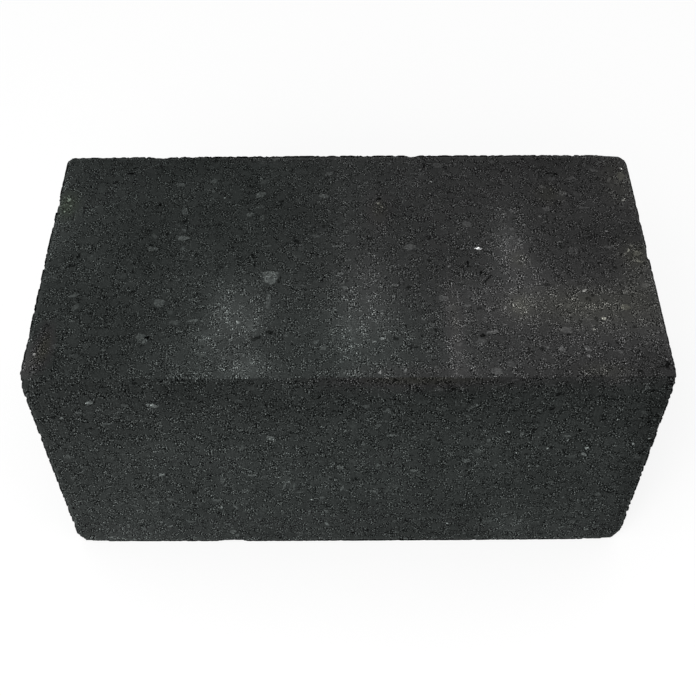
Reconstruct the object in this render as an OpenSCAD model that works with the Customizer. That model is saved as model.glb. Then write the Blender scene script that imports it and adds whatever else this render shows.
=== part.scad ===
// Concrete stacking block for dry-laid or glued garden walls and edgings.
// One solid unit of pigmented, earth-moist concrete, pressed and vibrated in a steel mould
// and stripped straight away, so it has no core, shell or facing layer of its own.
//
// Frame: X runs along the course, Y from the front to the back of the wall, Z up.
// The origin is the centre of the underside, where the block rests on the course below.

/* [Block] */
// Length along the course
block_length = 300; // [100:5:600]
// Depth of the wall, from front face to back face
block_depth = 150; // [80:5:300]
// Height of one course
block_height = 150; // [80:5:300]

/* [Arrises] */
// Rounding of the arrises round the top bed, where the tamper shoe met the mould wall
top_arris_r = 1.2; // [0.5:0.1:5]
// Rounding of the arrises round the underside, where the mould stood on its board
base_arris_r = 1; // [0.5:0.1:5]
// Rounding of the four upright arrises, from the corners of the mould box
upright_arris_r = 1.2; // [0.5:0.1:6]

/* [Wear] */
// Share of their listed size at which the corner spalls and arris chips are cut
wear = 1; // [0.2:0.05:1.5]

/* [Quality] */
// Segments in a full circle
segments = 64; // [24:8:128]

/* [Hidden] */
$fn = segments;

concrete_grey = [0.17, 0.18, 0.175];

// How far the crossed outlines are drawn past the block's own faces
overrun = 20;
// Edge of the cube that takes a corner off: past the longest leg at full wear
cutter_size = 120;

// Places on the block are given as shares of its half size: -1 and +1 are opposite faces,
// so [1, 1, 1] is the back right corner of the top, and [1, 0.1, 1] is a place on the
// arris of the right end, a little behind the middle.

// Corner spalls: the corner, and how far the break reaches from the sharp corner
// along each of its three arrises, in mm. Each is one flat break.
CORNER_SPALLS = [
    // back right, top: two breaks at a slant to each other
    [[ 1,  1,  1], [ 5.0,  7.0, 22.0]],
    [[ 1,  1,  1], [ 2.4, 14.0, 30.0]],
    // back left, top
    [[-1,  1,  1], [ 3.6,  5.0, 11.0]],
    // front left, top
    [[-1, -1,  1], [ 6.0,  4.0, 14.0]],
    // front right, top
    [[ 1, -1,  1], [ 3.6,  3.8,  8.0]],
    // front right, underside: a steep break and a low one
    [[ 1, -1, -1], [ 5.5,  8.0, 13.0]],
    [[ 1, -1, -1], [20.0,  8.0,  2.0]],
    // front left, underside, likewise
    [[-1, -1, -1], [ 4.5,  6.0, 10.0]],
    [[-1, -1, -1], [17.0,  6.0,  1.6]],
    // back corners, underside
    [[ 1,  1, -1], [ 5.0,  6.0, 14.0]],
    [[-1,  1, -1], [ 6.5,  5.0,  9.0]]
];

// Arris chips: the place, then the length along the arris and the depth, in mm.
// Each is one shallow scoop.
ARRIS_CHIPS = [
    // right end, top
    [[ 1.00,  0.03,  1.00], 10, 1.6],
    [[ 1.00,  0.30,  1.00], 15, 0.8],
    // left end, top
    [[-1.00,  0.51,  1.00], 13, 1.7],
    [[-1.00,  0.32,  1.00],  7, 1.0],
    [[-1.00, -0.66,  1.00], 10, 0.9],
    // front, top
    [[ 0.79, -1.00,  1.00],  9, 1.1],
    [[-0.52, -1.00,  1.00], 11, 0.7],
    // back, top
    [[ 0.23,  1.00,  1.00],  8, 0.9],
    [[-0.66,  1.00,  1.00], 14, 0.8],
    // underside, front and back
    [[-0.43, -1.00, -1.00], 16, 0.9],
    [[ 0.48,  1.00, -1.00], 12, 1.3],
    // upright arrises, front right and back left
    [[ 1.00, -1.00,  0.44], 13, 1.2],
    [[ 1.00, -1.00,  0.20],  5, 0.9],
    [[-1.00,  1.00, -0.23], 14, 1.2]
];

// The point of the sharp, unworn box at a place
function box_point(place) = [
    place.x * block_length / 2,
    place.y * block_depth / 2,
    (place.z + 1) * block_height / 2
];

// Direction out of the box at a place, from the faces that meet there
function outward(place) =
    let (faces = [for (share = place) abs(share) == 1 ? share : 0])
    faces / norm(faces);

// Rounding of the arris at a place
function arris_r(place) =
    abs(place.z) < 1 ? upright_arris_r : place.z > 0 ? top_arris_r : base_arris_r;

// Radius of the sphere that leaves a scoop of a given length and depth
function scoop_r(length, deep) = (length * length / 4 + deep * deep) / (2 * deep);

// Rectangle about the origin with all four corners rounded alike
module eased_plan(length, depth, r) {
    square([length - 2 * r, depth], center = true);
    square([length, depth - 2 * r], center = true);
    for (x = [-1, 1], y = [-1, 1])
        translate([x * (length / 2 - r), y * (depth / 2 - r)]) circle(r);
}

// Rectangle standing on the X axis, its upper and lower corners rounded by their own radii
module eased_elevation(width, height, upper_r, lower_r) {
    translate([-width / 2, lower_r]) square([width, height - upper_r - lower_r]);
    translate([upper_r - width / 2, height / 2]) square([width - 2 * upper_r, height / 2]);
    translate([lower_r - width / 2, 0]) square([width - 2 * lower_r, height / 2]);
    for (x = [-1, 1]) {
        translate([x * (width / 2 - upper_r), height - upper_r]) circle(upper_r);
        translate([x * (width / 2 - lower_r), lower_r]) circle(lower_r);
    }
}

// The block as it left the mould: its plan, front elevation and end elevation, each drawn
// out to full size and crossed with the others, which eases all twelve arrises
module moulded_body() {
    intersection() {
        linear_extrude(block_height)
            eased_plan(block_length, block_depth, upright_arris_r);
        rotate([90, 0, 0])
            linear_extrude(block_depth + overrun, center = true)
                eased_elevation(block_length, block_height, top_arris_r, base_arris_r);
        rotate([90, 0, 90])
            linear_extrude(block_length + overrun, center = true)
                eased_elevation(block_depth, block_height, top_arris_r, base_arris_r);
    }
}

// All that lies beyond the plane through the ends of the three legs of a corner
module corner_spall(place, legs) {
    steepness = [place.x / legs.x, place.y / legs.y, place.z / legs.z];
    out = steepness / norm(steepness);
    translate(box_point(place) - out / norm(steepness))
        rotate([0, acos(out.z), atan2(out.y, out.x)])
            translate([-cutter_size / 2, -cutter_size / 2, 0]) cube(cutter_size);
}

// A sphere that takes a scoop out of an arris, its depth counted from the rounded crown
module arris_chip(place, length, deep) {
    out = outward(place);
    crown = box_point(place) - out * arris_r(place) * (sqrt(2) - 1);
    r = scoop_r(length, deep);
    translate(crown + out * (r - deep)) sphere(r);
}

module block() {
    color(concrete_grey)
        difference() {
            moulded_body();
            for (spall = CORNER_SPALLS) corner_spall(spall[0], wear * spall[1]);
            for (chip = ARRIS_CHIPS) arris_chip(chip[0], chip[1], wear * chip[2]);
        }
}

block();
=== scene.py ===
"""Looks of a concrete stacking block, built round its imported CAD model.

The block is one casting, so it is one piece here. A Geometry Nodes tree casts its relief, the
worn arrises included, and one procedural concrete dresses it. Lengths are in millimetres from
the block's middle, and greys in display levels from 0 to 255, until they go to Blender.
"""

import logging
import math
import random
from dataclasses import dataclass
from enum import Enum
from functools import partial

import bpy
import numpy as np
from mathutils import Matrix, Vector

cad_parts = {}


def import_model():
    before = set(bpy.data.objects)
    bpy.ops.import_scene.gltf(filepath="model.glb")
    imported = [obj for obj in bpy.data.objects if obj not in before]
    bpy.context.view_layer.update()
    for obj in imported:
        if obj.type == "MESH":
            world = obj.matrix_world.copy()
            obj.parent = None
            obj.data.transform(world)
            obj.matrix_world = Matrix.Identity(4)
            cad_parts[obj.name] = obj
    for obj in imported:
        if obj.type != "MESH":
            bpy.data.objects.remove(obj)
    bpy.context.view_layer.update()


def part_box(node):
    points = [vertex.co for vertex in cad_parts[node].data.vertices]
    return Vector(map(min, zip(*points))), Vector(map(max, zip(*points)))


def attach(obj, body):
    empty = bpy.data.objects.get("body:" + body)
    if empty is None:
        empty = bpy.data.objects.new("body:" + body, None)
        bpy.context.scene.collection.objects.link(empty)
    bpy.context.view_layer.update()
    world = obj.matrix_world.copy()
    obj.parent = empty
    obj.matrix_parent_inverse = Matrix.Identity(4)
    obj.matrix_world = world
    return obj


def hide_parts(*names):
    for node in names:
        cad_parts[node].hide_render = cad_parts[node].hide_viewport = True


LOG = logging.getLogger("stacking_block")

MM = 0.001
GREY_LEVELS = 255.0
NODE = "block"
BODY = "root"

# Node kinds that the trees below use again and again. Range takes its value, the two ends of
# what comes in and the two ends of what goes out as inputs 0 to 4.
MATH = "ShaderNodeMath"
VECTOR = "ShaderNodeVectorMath"
RANGE = "ShaderNodeMapRange"
NOISE = "ShaderNodeTexNoise"
CELLS = "ShaderNodeTexVoronoi"
MIX = "ShaderNodeMix"
SPLIT = "ShaderNodeSeparateXYZ"
JOIN = "ShaderNodeCombineXYZ"
ATTRIBUTE = "ShaderNodeAttribute"
SHADER_GROUP = "ShaderNodeGroup"
GEOMETRY_GROUP = "GeometryNodeGroup"
POSITION = "GeometryNodeInputPosition"

# Settings of a noise that is drawn on the flat sheets
FLAT = {"noise_dimensions": "2D"}

# Distance between the middles of the block's faces when they are laid out flat in a row
SHEET_STEP = 400.0
# Where a triangle's mark goes when it has none: far off every sheet
NOWHERE = 1000.0

Socket = bpy.types.NodeSocket
Tree = bpy.types.NodeTree
Sockets = dict[str, Socket]
Triple = tuple[float, float, float]


def linear(hex_colour: str) -> tuple[float, float, float, float]:
    """Turns an sRGB hex colour to linear light.

    Args:
        hex_colour: Colour such as "#30332F".

    Returns:
        Red, green, blue and an alpha of 1.
    """
    levels = [int(hex_colour[i : i + 2], 16) / GREY_LEVELS for i in (1, 3, 5)]
    light = [v / 12.92 if v <= 0.04045 else ((v + 0.055) / 1.055) ** 2.4 for v in levels]
    return (light[0], light[1], light[2], 1.0)


def add_node(tree: Tree, kind: str, inputs: dict | None = None, **settings) -> Socket | None:
    """Adds a node with its settings and links.

    Args:
        tree: Tree that the node goes into.
        kind: The node's type, such as "ShaderNodeMath".
        inputs: Values, or sockets to link, by the input's number or name.
        **settings: Options of the node, such as operation.

    Returns:
        The node's first output in use, or None if it has no output.
    """
    node = tree.nodes.new(kind)
    for name, value in settings.items():
        setattr(node, name, value)
    for key, value in (inputs or {}).items():
        if isinstance(value, bpy.types.NodeSocket):
            tree.links.new(value, node.inputs[key])
        else:
            node.inputs[key].default_value = value
    return next((out for out in node.outputs if out.enabled), None)


def new_tree(
    name: str, kind: str, inputs: dict[str, str], outputs: dict[str, str]
) -> tuple[Tree, Sockets, bpy.types.Node]:
    """Makes an empty node group with named sockets.

    Args:
        name: The group's name.
        kind: "ShaderNodeTree" or "GeometryNodeTree".
        inputs: Type of each input socket, such as "Float", by name.
        outputs: The same for the outputs.

    Returns:
        The group, its input sockets by name, and its output node.
    """
    tree = bpy.data.node_groups.new(name, kind)
    for label, word in inputs.items():
        tree.interface.new_socket(label, in_out="INPUT", socket_type="NodeSocket" + word)
    for label, word in outputs.items():
        tree.interface.new_socket(label, in_out="OUTPUT", socket_type="NodeSocket" + word)
    entry = tree.nodes.new("NodeGroupInput")
    return tree, {label: entry.outputs[label] for label in inputs}, tree.nodes.new("NodeGroupOutput")


class Face(Enum):
    """A face of the block. Its value is its sheet's number when the faces are laid out flat."""

    UNDERSIDE = 0
    TOP = 1
    FRONT = 2
    BACK = 3
    LEFT_END = 4
    RIGHT_END = 5


@dataclass(frozen=True)
class BlockSize:
    """The block's length, depth and height."""

    length: float
    depth: float
    height: float

    @classmethod
    def of_node(cls, node: str) -> "BlockSize":
        """Reads the size off a CAD node's box.

        Args:
            node: The node's name.

        Returns:
            The size, to a hundredth of a millimetre.
        """
        low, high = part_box(node)
        return cls(*(round((b - a) / MM, 2) for a, b in zip(low, high)))

    @property
    def half(self) -> Vector:
        """Half the size along X, Y and Z."""
        return Vector((self.length, self.depth, self.height)) / 2

    def point(self, shares: Triple) -> Vector:
        """Finds the place that is given as shares of the half size, from -1 to +1."""
        return Vector(share * half for share, half in zip(shares, self.half))

    def sheets(self, points: np.ndarray) -> tuple[np.ndarray, np.ndarray, np.ndarray]:
        """Lays points of the surface out flat, each on the sheet of its face.

        Args:
            points: Places, one a row.

        Returns:
            Each point's distance along its face, its distance up it, and its face's number.
        """
        over = np.abs(points) - np.array(self.half)
        axis = over.argmax(axis=1)
        along = np.where(axis == 0, points[:, 1], points[:, 0])
        up = np.where(axis == 2, points[:, 1], points[:, 2])
        side = points[np.arange(len(points)), axis] > 0
        family = np.choose(axis, (2, 1, 0))
        return along, up, 2 * family + side

    def extent(self, face: Face) -> tuple[float, float]:
        """Gives a face's extent on its sheet.

        Args:
            face: The face.

        Returns:
            Its length along the sheet and its height up it.
        """
        if face in (Face.TOP, Face.UNDERSIDE):
            return self.length, self.depth
        if face in (Face.FRONT, Face.BACK):
            return self.length, self.height
        return self.depth, self.height


@dataclass(frozen=True)
class Spall:
    """A flat break across a corner.

    Attributes:
        corner: The corner, -1 or +1 along X, Y and Z.
        legs: How far the break reaches along the corner's three arrises.
    """

    corner: Triple
    legs: Triple

    def plane(self, size: BlockSize) -> tuple[Vector, Vector]:
        """Works out the plane of the break.

        Args:
            size: The block's size.

        Returns:
            A point of the plane and its outward direction.
        """
        steepness = Vector(c / leg for c, leg in zip(self.corner, self.legs))
        out = steepness.normalized()
        return size.point(self.corner) - out / steepness.length, out


@dataclass(frozen=True)
class Chip:
    """A shallow scoop out of an arris.

    Attributes:
        place: Where it is, in shares of the half size.
        length: Its length along the arris.
        deep: Its depth below the rounded crown of the arris.
    """

    place: Triple
    length: float
    deep: float

    def ball(self, size: BlockSize, rounding: float) -> tuple[Vector, float]:
        """Works out the ball that takes the scoop.

        Args:
            size: The block's size.
            rounding: Radius of the arris.

        Returns:
            The ball's centre and radius.
        """
        out = Vector(s if abs(s) == 1 else 0 for s in self.place).normalized()
        crown = size.point(self.place) - out * rounding * (math.sqrt(2) - 1)
        radius = (self.length**2 / 4 + self.deep**2) / (2 * self.deep)
        return crown + out * (radius - self.deep), radius


# The corner breaks and arris chips of the CAD solid, and the notch in the right end that one of
# them runs on into
SPALLS = [
    Spall((1, 1, 1), (5.0, 7.0, 22.0)),
    Spall((1, 1, 1), (2.4, 14.0, 30.0)),
    Spall((-1, 1, 1), (3.6, 5.0, 11.0)),
    Spall((-1, -1, 1), (6.0, 4.0, 14.0)),
    Spall((1, -1, 1), (3.6, 3.8, 8.0)),
    Spall((1, -1, -1), (5.5, 8.0, 13.0)),
    Spall((1, -1, -1), (20.0, 8.0, 2.0)),
    Spall((-1, -1, -1), (4.5, 6.0, 10.0)),
    Spall((-1, -1, -1), (17.0, 6.0, 1.6)),
    Spall((1, 1, -1), (5.0, 6.0, 14.0)),
    Spall((-1, 1, -1), (6.5, 5.0, 9.0)),
]
CHIPS = [
    Chip((1, 0.03, 1), 10, 1.6),
    Chip((1, -0.015, 0.945), 9, 2.9),
    Chip((1, 0.30, 1), 15, 0.8),
    Chip((-1, 0.51, 1), 13, 1.7),
    Chip((-1, 0.32, 1), 7, 1.0),
    Chip((-1, -0.66, 1), 10, 0.9),
    Chip((0.79, -1, 1), 9, 1.1),
    Chip((-0.52, -1, 1), 11, 0.7),
    Chip((0.23, 1, 1), 8, 0.9),
    Chip((-0.66, 1, 1), 14, 0.8),
    Chip((-0.43, -1, -1), 16, 0.9),
    Chip((0.48, 1, -1), 12, 1.3),
    Chip((1, -1, 0.44), 13, 1.2),
    Chip((1, -1, 0.20), 5, 0.9),
    Chip((-1, 1, -0.23), 14, 1.2),
]


@dataclass(frozen=True)
class Mark:
    """An oval spot that shows in a face: a flush stone, a bright grain or a hole.

    Attributes:
        face: The face that it is on.
        along: Distance from the face's middle along its sheet.
        up: Distance from the face's middle up its sheet.
        long: Half its length.
        wide: Half its width.
        turn: Angle of its length from the sheet's along direction, in degrees.
        gain: Grey levels that it adds to the face; a hole's negative gain is painted shade in it.
        warmth: How much it turns the face to sand colour, from 0 to 1.
    """

    face: Face
    along: float
    up: float
    long: float
    wide: float
    turn: float
    gain: float
    warmth: float = 0.0


@dataclass(frozen=True)
class Laying:
    """How the rows of a list of marks are laid on their face.

    A row keeps the numbers that were first chosen for its mark. Its place is then drawn in
    towards the middle and shifted, and a hole or a small bright grain is toned down.

    Attributes:
        face: The face.
        stretch: What distances along the face are multiplied by.
        aside: What is added to them.
        lift: What is added to distances up the face.
        small: Half length times half width below which a bright grain is toned down.
        bright: Gain from which a grain is bright.
        grain_tone: What the gain of such a grain is multiplied by.
        hole_tone: What the gain of a hole, its painted shade, is multiplied by.
    """

    face: Face
    stretch: float
    aside: float = 0.0
    lift: float = 0.0
    small: float = 1.25
    bright: float = 40.0
    grain_tone: float = 0.68
    hole_tone: float = 0.9

    def mark(self, row: tuple[float, ...]) -> Mark:
        """Lays one row.

        Args:
            row: Along, up, half length, half width, turn, gain and, where it has one, warmth.

        Returns:
            The mark, placed to a tenth of a millimetre and toned to a whole grey level.
        """
        along, up, long, wide, turn, gain, *warmth = row
        along = round(along * self.stretch + self.aside, 1)
        up = round(up + self.lift, 1)
        if gain < 0:
            gain = round(gain * self.hole_tone)
        elif gain >= self.bright and long * wide < self.small:
            gain = round(gain * self.grain_tone)
        return Mark(self.face, along, up, long, wide, turn, gain, *warmth)


ON_TOP = Laying(Face.TOP, stretch=0.9907, aside=0.2, lift=-0.34)
ON_FRONT = Laying(Face.FRONT, stretch=0.9923)

# Stones, bright grains and holes, listed: along, up, half length, half width, turn,
# gain and, where it has one, warmth
TOP_MARKS = [
    # flush gravel, the large pale one first
    (-38.2, -10.7, 4.3, 1.9, 0, 23),
    (-38.0, -12.8, 3.7, 2.4, 0, 24),
    (-38.2, -15.0, 2.9, 2.1, 0, 22),
    (-83.5, 14.0, 3.0, 1.6, 0, 24),
    (-98.0, 7.0, 2.4, 1.4, 0, 18),
    (-83.0, 6.5, 1.7, 1.2, 80, 16),
    (-45.5, 45.0, 2.8, 2.0, 35, 18),
    (-45.0, 36.0, 2.0, 1.2, 10, 12),
    (-44.0, 28.0, 2.2, 1.5, 80, 10),
    (-84.0, 33.0, 2.6, 1.4, 85, 14),
    (-88.0, 53.0, 2.5, 1.3, -10, 15),
    (-71.0, 55.5, 2.0, 1.6, 60, 13),
    (-91.0, -29.0, 2.7, 2.4, 40, 19),
    (-97.0, -51.0, 3.4, 2.5, -60, 18),
    (-75.0, -27.0, 2.5, 0.8, 8, 13),
    (-73.5, -40.0, 2.8, 0.8, 6, 20),
    (-133.0, -24.0, 2.7, 0.9, 20, 17),
    (-131.0, -31.0, 2.2, 1.5, 60, 12),
    (-5.5, 8.0, 2.9, 0.7, 2, 24),
    (-16.0, 15.0, 2.3, 1.2, 0, 11),
    (31.0, 7.0, 3.1, 2.2, 10, 16),
    (61.0, 23.0, 2.9, 2.0, -45, 14),
    (22.0, -18.5, 2.9, 0.8, 0, 13),
    (57.0, -31.5, 1.8, 0.6, 8, 24),
    (53.0, 60.0, 2.7, 0.8, 0, 13),
    (108.0, 56.0, 2.2, 1.2, 20, 11),
    (118.0, 56.5, 2.7, 1.2, 12, 13),
    (112.5, 45.0, 2.1, 1.8, 0, 13),
    (102.5, 50.0, 1.7, 0.9, 0, 15),
    (103.0, 33.5, 2.3, 1.5, 0, 13),
    (122.0, 34.5, 2.7, 0.6, 0, 15),
    (131.0, 6.5, 2.3, 1.0, 0, 15),
    (113.0, 4.0, 3.0, 2.3, 80, 8),
    (133.0, -33.0, 2.1, 1.9, 0, 13, 0.6),
    (103.0, -47.0, 2.7, 2.1, 20, 13),
    (68.0, -48.0, 2.7, 1.0, 5, 22),
    (62.0, -53.5, 2.6, 2.2, 30, 12),
    (68.0, -71.0, 2.7, 2.0, 0, 15),
    (46.0, -27.0, 2.5, 1.6, 0, 14),
    (111.5, -58.0, 1.9, 1.2, -50, 22),
    (-123.0, -55.0, 1.9, 1.7, 0, 8),
    (-127.0, -61.0, 1.7, 1.3, 0, 8),
    (-12.0, -57.0, 1.8, 1.2, 0, 15),
    (-38.6, -28.0, 5.5, 1.1, 88, 12),
    (145.0, 58.0, 3.2, 2.0, 75, 13, 0.5),
    # quartz and shell grains
    (65.3, 6.0, 1.5, 0.85, -15, 130),
    (44.0, 54.5, 0.6, 0.5, 0, 75),
    (100.0, 41.0, 0.5, 0.5, 0, 60),
    (131.5, 17.5, 0.6, 0.5, 0, 80),
    (107.0, 10.5, 0.5, 0.4, 0, 60),
    (115.0, -22.3, 1.2, 0.6, 35, 95),
    (75.3, -33.0, 0.7, 0.6, 0, 95),
    (121.5, -40.0, 0.7, 0.6, 0, 85, 0.5),
    (116.0, -46.5, 0.7, 0.6, 60, 60, 0.4),
    (101.0, -54.3, 0.7, 0.6, 0, 70),
    (120.0, -54.3, 0.5, 0.4, 0, 55),
    (111.0, -62.5, 0.6, 0.5, 0, 60),
    (147.6, -64.0, 0.7, 0.6, 0, 70),
    (94.5, -68.0, 1.0, 0.5, -60, 50),
    (14.0, -71.5, 0.8, 0.6, 40, 80, 0.3),
    (26.0, -70.5, 1.1, 0.5, 70, 60),
    (-143.0, -0.5, 0.7, 0.6, 0, 65),
    (-117.5, -39.0, 0.7, 0.6, 0, 75),
    (-131.0, -40.3, 0.5, 0.5, 0, 50),
    (-52.5, -41.5, 1.0, 0.7, 0, 85),
    (-38.5, -26.3, 0.7, 0.6, 0, 65),
    (50.0, -6.0, 0.5, 0.5, 0, 50),
    (143.5, 40.0, 1.2, 0.6, 40, 95, 0.3),
    (146.0, 64.0, 0.6, 0.5, 0, 80),
    (16.0, -51.5, 1.1, 0.8, 30, 60),
    (12.0, -53.2, 1.0, 0.6, 0, 42),
    # bared sand at the notch in the right arris, at the left arris and in two spots
    (140.4, 4.3, 0.9, 0.7, 60, 60, 0.4),
    (138.4, 2.0, 0.6, 0.5, 20, 50, 0.2),
    (142.4, 7.2, 0.7, 0.5, -30, 50, 0.4),
    (144.8, -3.4, 1.5, 0.8, -15, 48, 0.4),
    (141.6, -0.6, 0.7, 0.5, 45, 40, 0.4),
    (144.6, 2.2, 2.2, 1.6, 30, 14, 0.8),
    (-145.4, 42.0, 1.3, 0.7, 80, 60, 0.3),
    (-143.6, 37.4, 0.6, 0.5, 0, 60, 0.4),
    (-146.4, 33.5, 0.6, 0.5, 0, 70, 0.2),
    (15.8, 37.8, 1.1, 0.6, 60, 52, 1.0),
    (17.6, 35.8, 0.9, 0.5, -40, 58, 1.0),
    (106.6, 48.0, 0.5, 0.4, 0, 40, 0.9),
    # holes and cracks beside stones, darkened with painted shade
    (68.2, -14.8, 3.8, 0.42, 52, -34),
    (65.5, -10.4, 1.6, 0.45, 80, -32),
    (59.4, -4.4, 2.3, 0.7, 85, -24),
    (-134.6, 2.2, 1.9, 0.6, 70, -28),
    (-137.2, -4.4, 2.2, 0.8, 10, -20),
    (-113.2, 66.0, 1.7, 0.55, 25, -30),
    (-115.4, 61.6, 1.4, 0.8, 0, -32),
    (-97.4, 38.4, 0.9, 0.8, 0, -30),
    (63.5, -50.0, 1.4, 0.9, 30, -32),
    (147.0, -67.4, 2.0, 0.8, 80, -28),
    (41.0, 66.8, 1.9, 0.5, 85, -24),
    (16.4, 41.5, 1.7, 0.7, 20, -30),
    (106.8, 60.6, 1.0, 0.7, 30, -30),
    (110.6, 59.6, 1.1, 0.7, 10, -32),
    (-47.4, 1.6, 1.7, 0.7, -60, -26),
    (-94.4, -50.6, 0.9, 0.8, 0, -34),
    (104.0, -49.5, 1.4, 0.6, 10, -28),
    (-33.6, -14.6, 2.6, 0.7, 80, -22),
    (-43.8, -51.4, 2.6, 1.0, 30, -22),
    (-37.0, -47.6, 1.8, 1.0, -20, -24),
]
FRONT_MARKS = [
    # flush gravel and flakes
    (-121.5, 56.5, 2.3, 1.1, 8, 34),
    (-92.0, 54.2, 2.6, 1.5, -20, 36),
    (-105.0, 54.0, 2.2, 1.1, -32, 15),
    (-128.0, 48.5, 1.9, 0.8, 0, 25),
    (-137.0, 44.0, 1.0, 0.7, -30, 36),
    (-115.5, 39.5, 2.1, 0.6, 5, 22),
    (-38.0, 27.0, 2.0, 1.8, 0, 25),
    (-53.0, 18.0, 2.7, 0.9, 70, 13),
    (-95.5, -6.0, 1.4, 1.1, 30, 40),
    (-99.2, -8.6, 2.3, 0.6, 42, 17),
    (-49.5, -6.5, 2.1, 0.8, 5, 28),
    (-78.5, -6.0, 1.8, 0.6, -60, 21),
    (-31.0, -12.9, 1.9, 0.7, 10, 30),
    (-33.4, -17.0, 3.2, 0.5, 75, 20),
    (-28.4, -17.4, 3.4, 0.5, 85, 15),
    (-25.0, -23.0, 2.5, 0.6, 5, 18),
    (-20.0, -18.6, 2.0, 0.5, 65, 18),
    (-3.5, -19.4, 2.4, 0.7, 75, 22),
    (-68.5, -38.0, 1.3, 1.1, 0, 42),
    (-60.5, -38.0, 2.3, 0.7, -70, 25),
    (-102.0, -32.5, 1.5, 0.7, 0, 25),
    (-94.0, -30.0, 1.8, 1.0, -30, 15),
    (-70.0, -31.0, 2.3, 1.5, -20, 15),
    (-86.0, -37.5, 1.9, 0.7, 0, 13),
    (-92.0, -46.0, 2.3, 0.6, 0, 13),
    (-86.0, -53.0, 2.5, 1.2, 0, 16),
    (-102.5, -53.5, 1.6, 0.9, 0, 19),
    (-98.0, -58.0, 1.6, 1.0, 20, 25),
    (-121.0, -58.0, 1.9, 0.7, 85, 23),
    (-113.0, -60.5, 2.1, 0.9, -70, 21),
    (-132.5, -70.4, 1.4, 1.1, 0, 30),
    (-62.0, -68.4, 1.6, 1.0, 80, 23),
    (-14.0, -28.5, 1.5, 1.0, 0, 17),
    (-12.0, -56.0, 2.0, 0.8, -60, 30),
    (-50.0, -45.0, 1.4, 0.6, -60, 21),
    (21.0, 29.0, 2.7, 0.9, 2, 27),
    (4.0, 56.0, 1.9, 0.8, 0, 15),
    (8.5, 53.0, 1.5, 1.3, 0, 15),
    (18.5, 49.5, 1.9, 1.3, 80, 15),
    (44.0, 50.5, 3.1, 1.5, 10, 10),
    (14.5, 37.0, 1.5, 0.8, 40, 25),
    (14.5, 2.5, 1.7, 0.9, 80, 19),
    (33.0, -3.0, 1.9, 1.2, 0, 19),
    (37.0, -7.0, 1.9, 0.8, 10, 13),
    (51.0, 13.0, 1.7, 1.0, 0, 17),
    (69.0, 24.0, 1.5, 1.0, 80, 17),
    (60.0, 28.0, 2.1, 0.7, 85, 9),
    (84.5, 29.0, 1.7, 1.0, 80, 22),
    (91.0, 56.0, 0.9, 0.7, 0, 24),
    (91.0, 49.0, 1.7, 0.8, 20, 17),
    (138.0, 66.0, 1.7, 1.0, 80, 15),
    (118.0, 11.0, 1.8, 1.1, -40, 36),
    (107.0, 27.0, 1.9, 0.8, 0, 20),
    (98.0, -20.5, 1.9, 1.2, 0, 19),
    (105.0, -15.0, 1.8, 1.1, -45, 15),
    (76.0, -18.5, 1.9, 1.0, 0, 9),
    (66.0, -35.0, 1.3, 0.6, -20, 17),
    (125.0, -33.0, 1.8, 0.9, 30, 17),
    (131.5, -27.0, 1.7, 1.4, 0, 15),
    (131.5, -33.5, 1.1, 0.7, 30, 21),
    (122.0, -56.0, 2.5, 1.6, 80, 11),
    (117.5, -61.0, 1.4, 1.0, 0, 17),
    (131.0, -64.0, 1.3, 0.9, 0, 21),
    (98.0, -40.0, 1.9, 0.7, 0, 13),
    (108.0, -43.0, 1.7, 0.7, 10, 11),
    (51.5, -47.0, 1.0, 0.8, 0, 17),
    (64.0, -67.0, 1.1, 0.8, 0, 17),
    (31.0, -72.0, 1.0, 0.8, 0, 28),
    (26.0, -65.2, 1.4, 0.5, 0, 23),
    (13.0, -23.0, 2.2, 0.9, -40, 15),
    (25.0, -18.0, 2.2, 1.6, 0, 8),
    # quartz grains
    (77.8, 31.2, 1.1, 0.55, -40, 90),
    (83.7, 13.0, 0.7, 0.5, 80, 90),
    (99.2, 16.5, 0.6, 0.5, 0, 80),
    (118.3, 16.5, 0.7, 0.6, 0, 110),
    (107.8, 23.5, 0.6, 0.4, 80, 60),
    (140.7, 19.5, 0.9, 0.7, 80, 90),
    (91.7, 0.7, 0.9, 0.5, 80, 65),
    (96.2, 0.2, 0.8, 0.6, 60, 50),
    (-19.5, -30.0, 0.7, 0.6, 0, 50),
    (-49.5, -19.0, 0.6, 0.5, 0, 35),
    (113.5, -30.0, 1.0, 0.6, 80, 30),
    (53.5, -63.5, 0.7, 0.6, 0, 34),
    (-21.0, -42.5, 0.8, 0.6, 30, 28),
    # holes, darkened with painted shade
    (131.4, -35.0, 0.9, 0.7, 0, -30),
    (135.6, -64.0, 0.9, 0.8, 0, -34),
    (-147.4, -39.0, 1.0, 0.9, 0, -30),
    (113.0, 31.8, 1.1, 0.7, -50, -28),
    (118.3, 13.0, 0.9, 0.5, 0, -26),
    (-13.8, 60.0, 1.0, 0.6, 60, -28),
    (-57.6, 35.0, 1.3, 0.6, 0, -26),
    (-70.0, -44.0, 1.1, 0.8, 40, -26),
]


@dataclass(frozen=True)
class Cloud:
    """A soft-edged part of a face that is paler, darker or warmer than the rest.

    Attributes:
        face: The face that it is on.
        along: Distance from the face's middle along its sheet.
        up: Distance from the face's middle up its sheet.
        reach: How far it reaches along the sheet before it has faded to six tenths.
        rise: The same up the sheet.
        gain: Grey levels that it adds.
        warmth: How much it turns the colour to sand, or below 0 to slate.
    """

    face: Face
    along: float
    up: float
    reach: float
    rise: float
    gain: float
    warmth: float = 0.0
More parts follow.
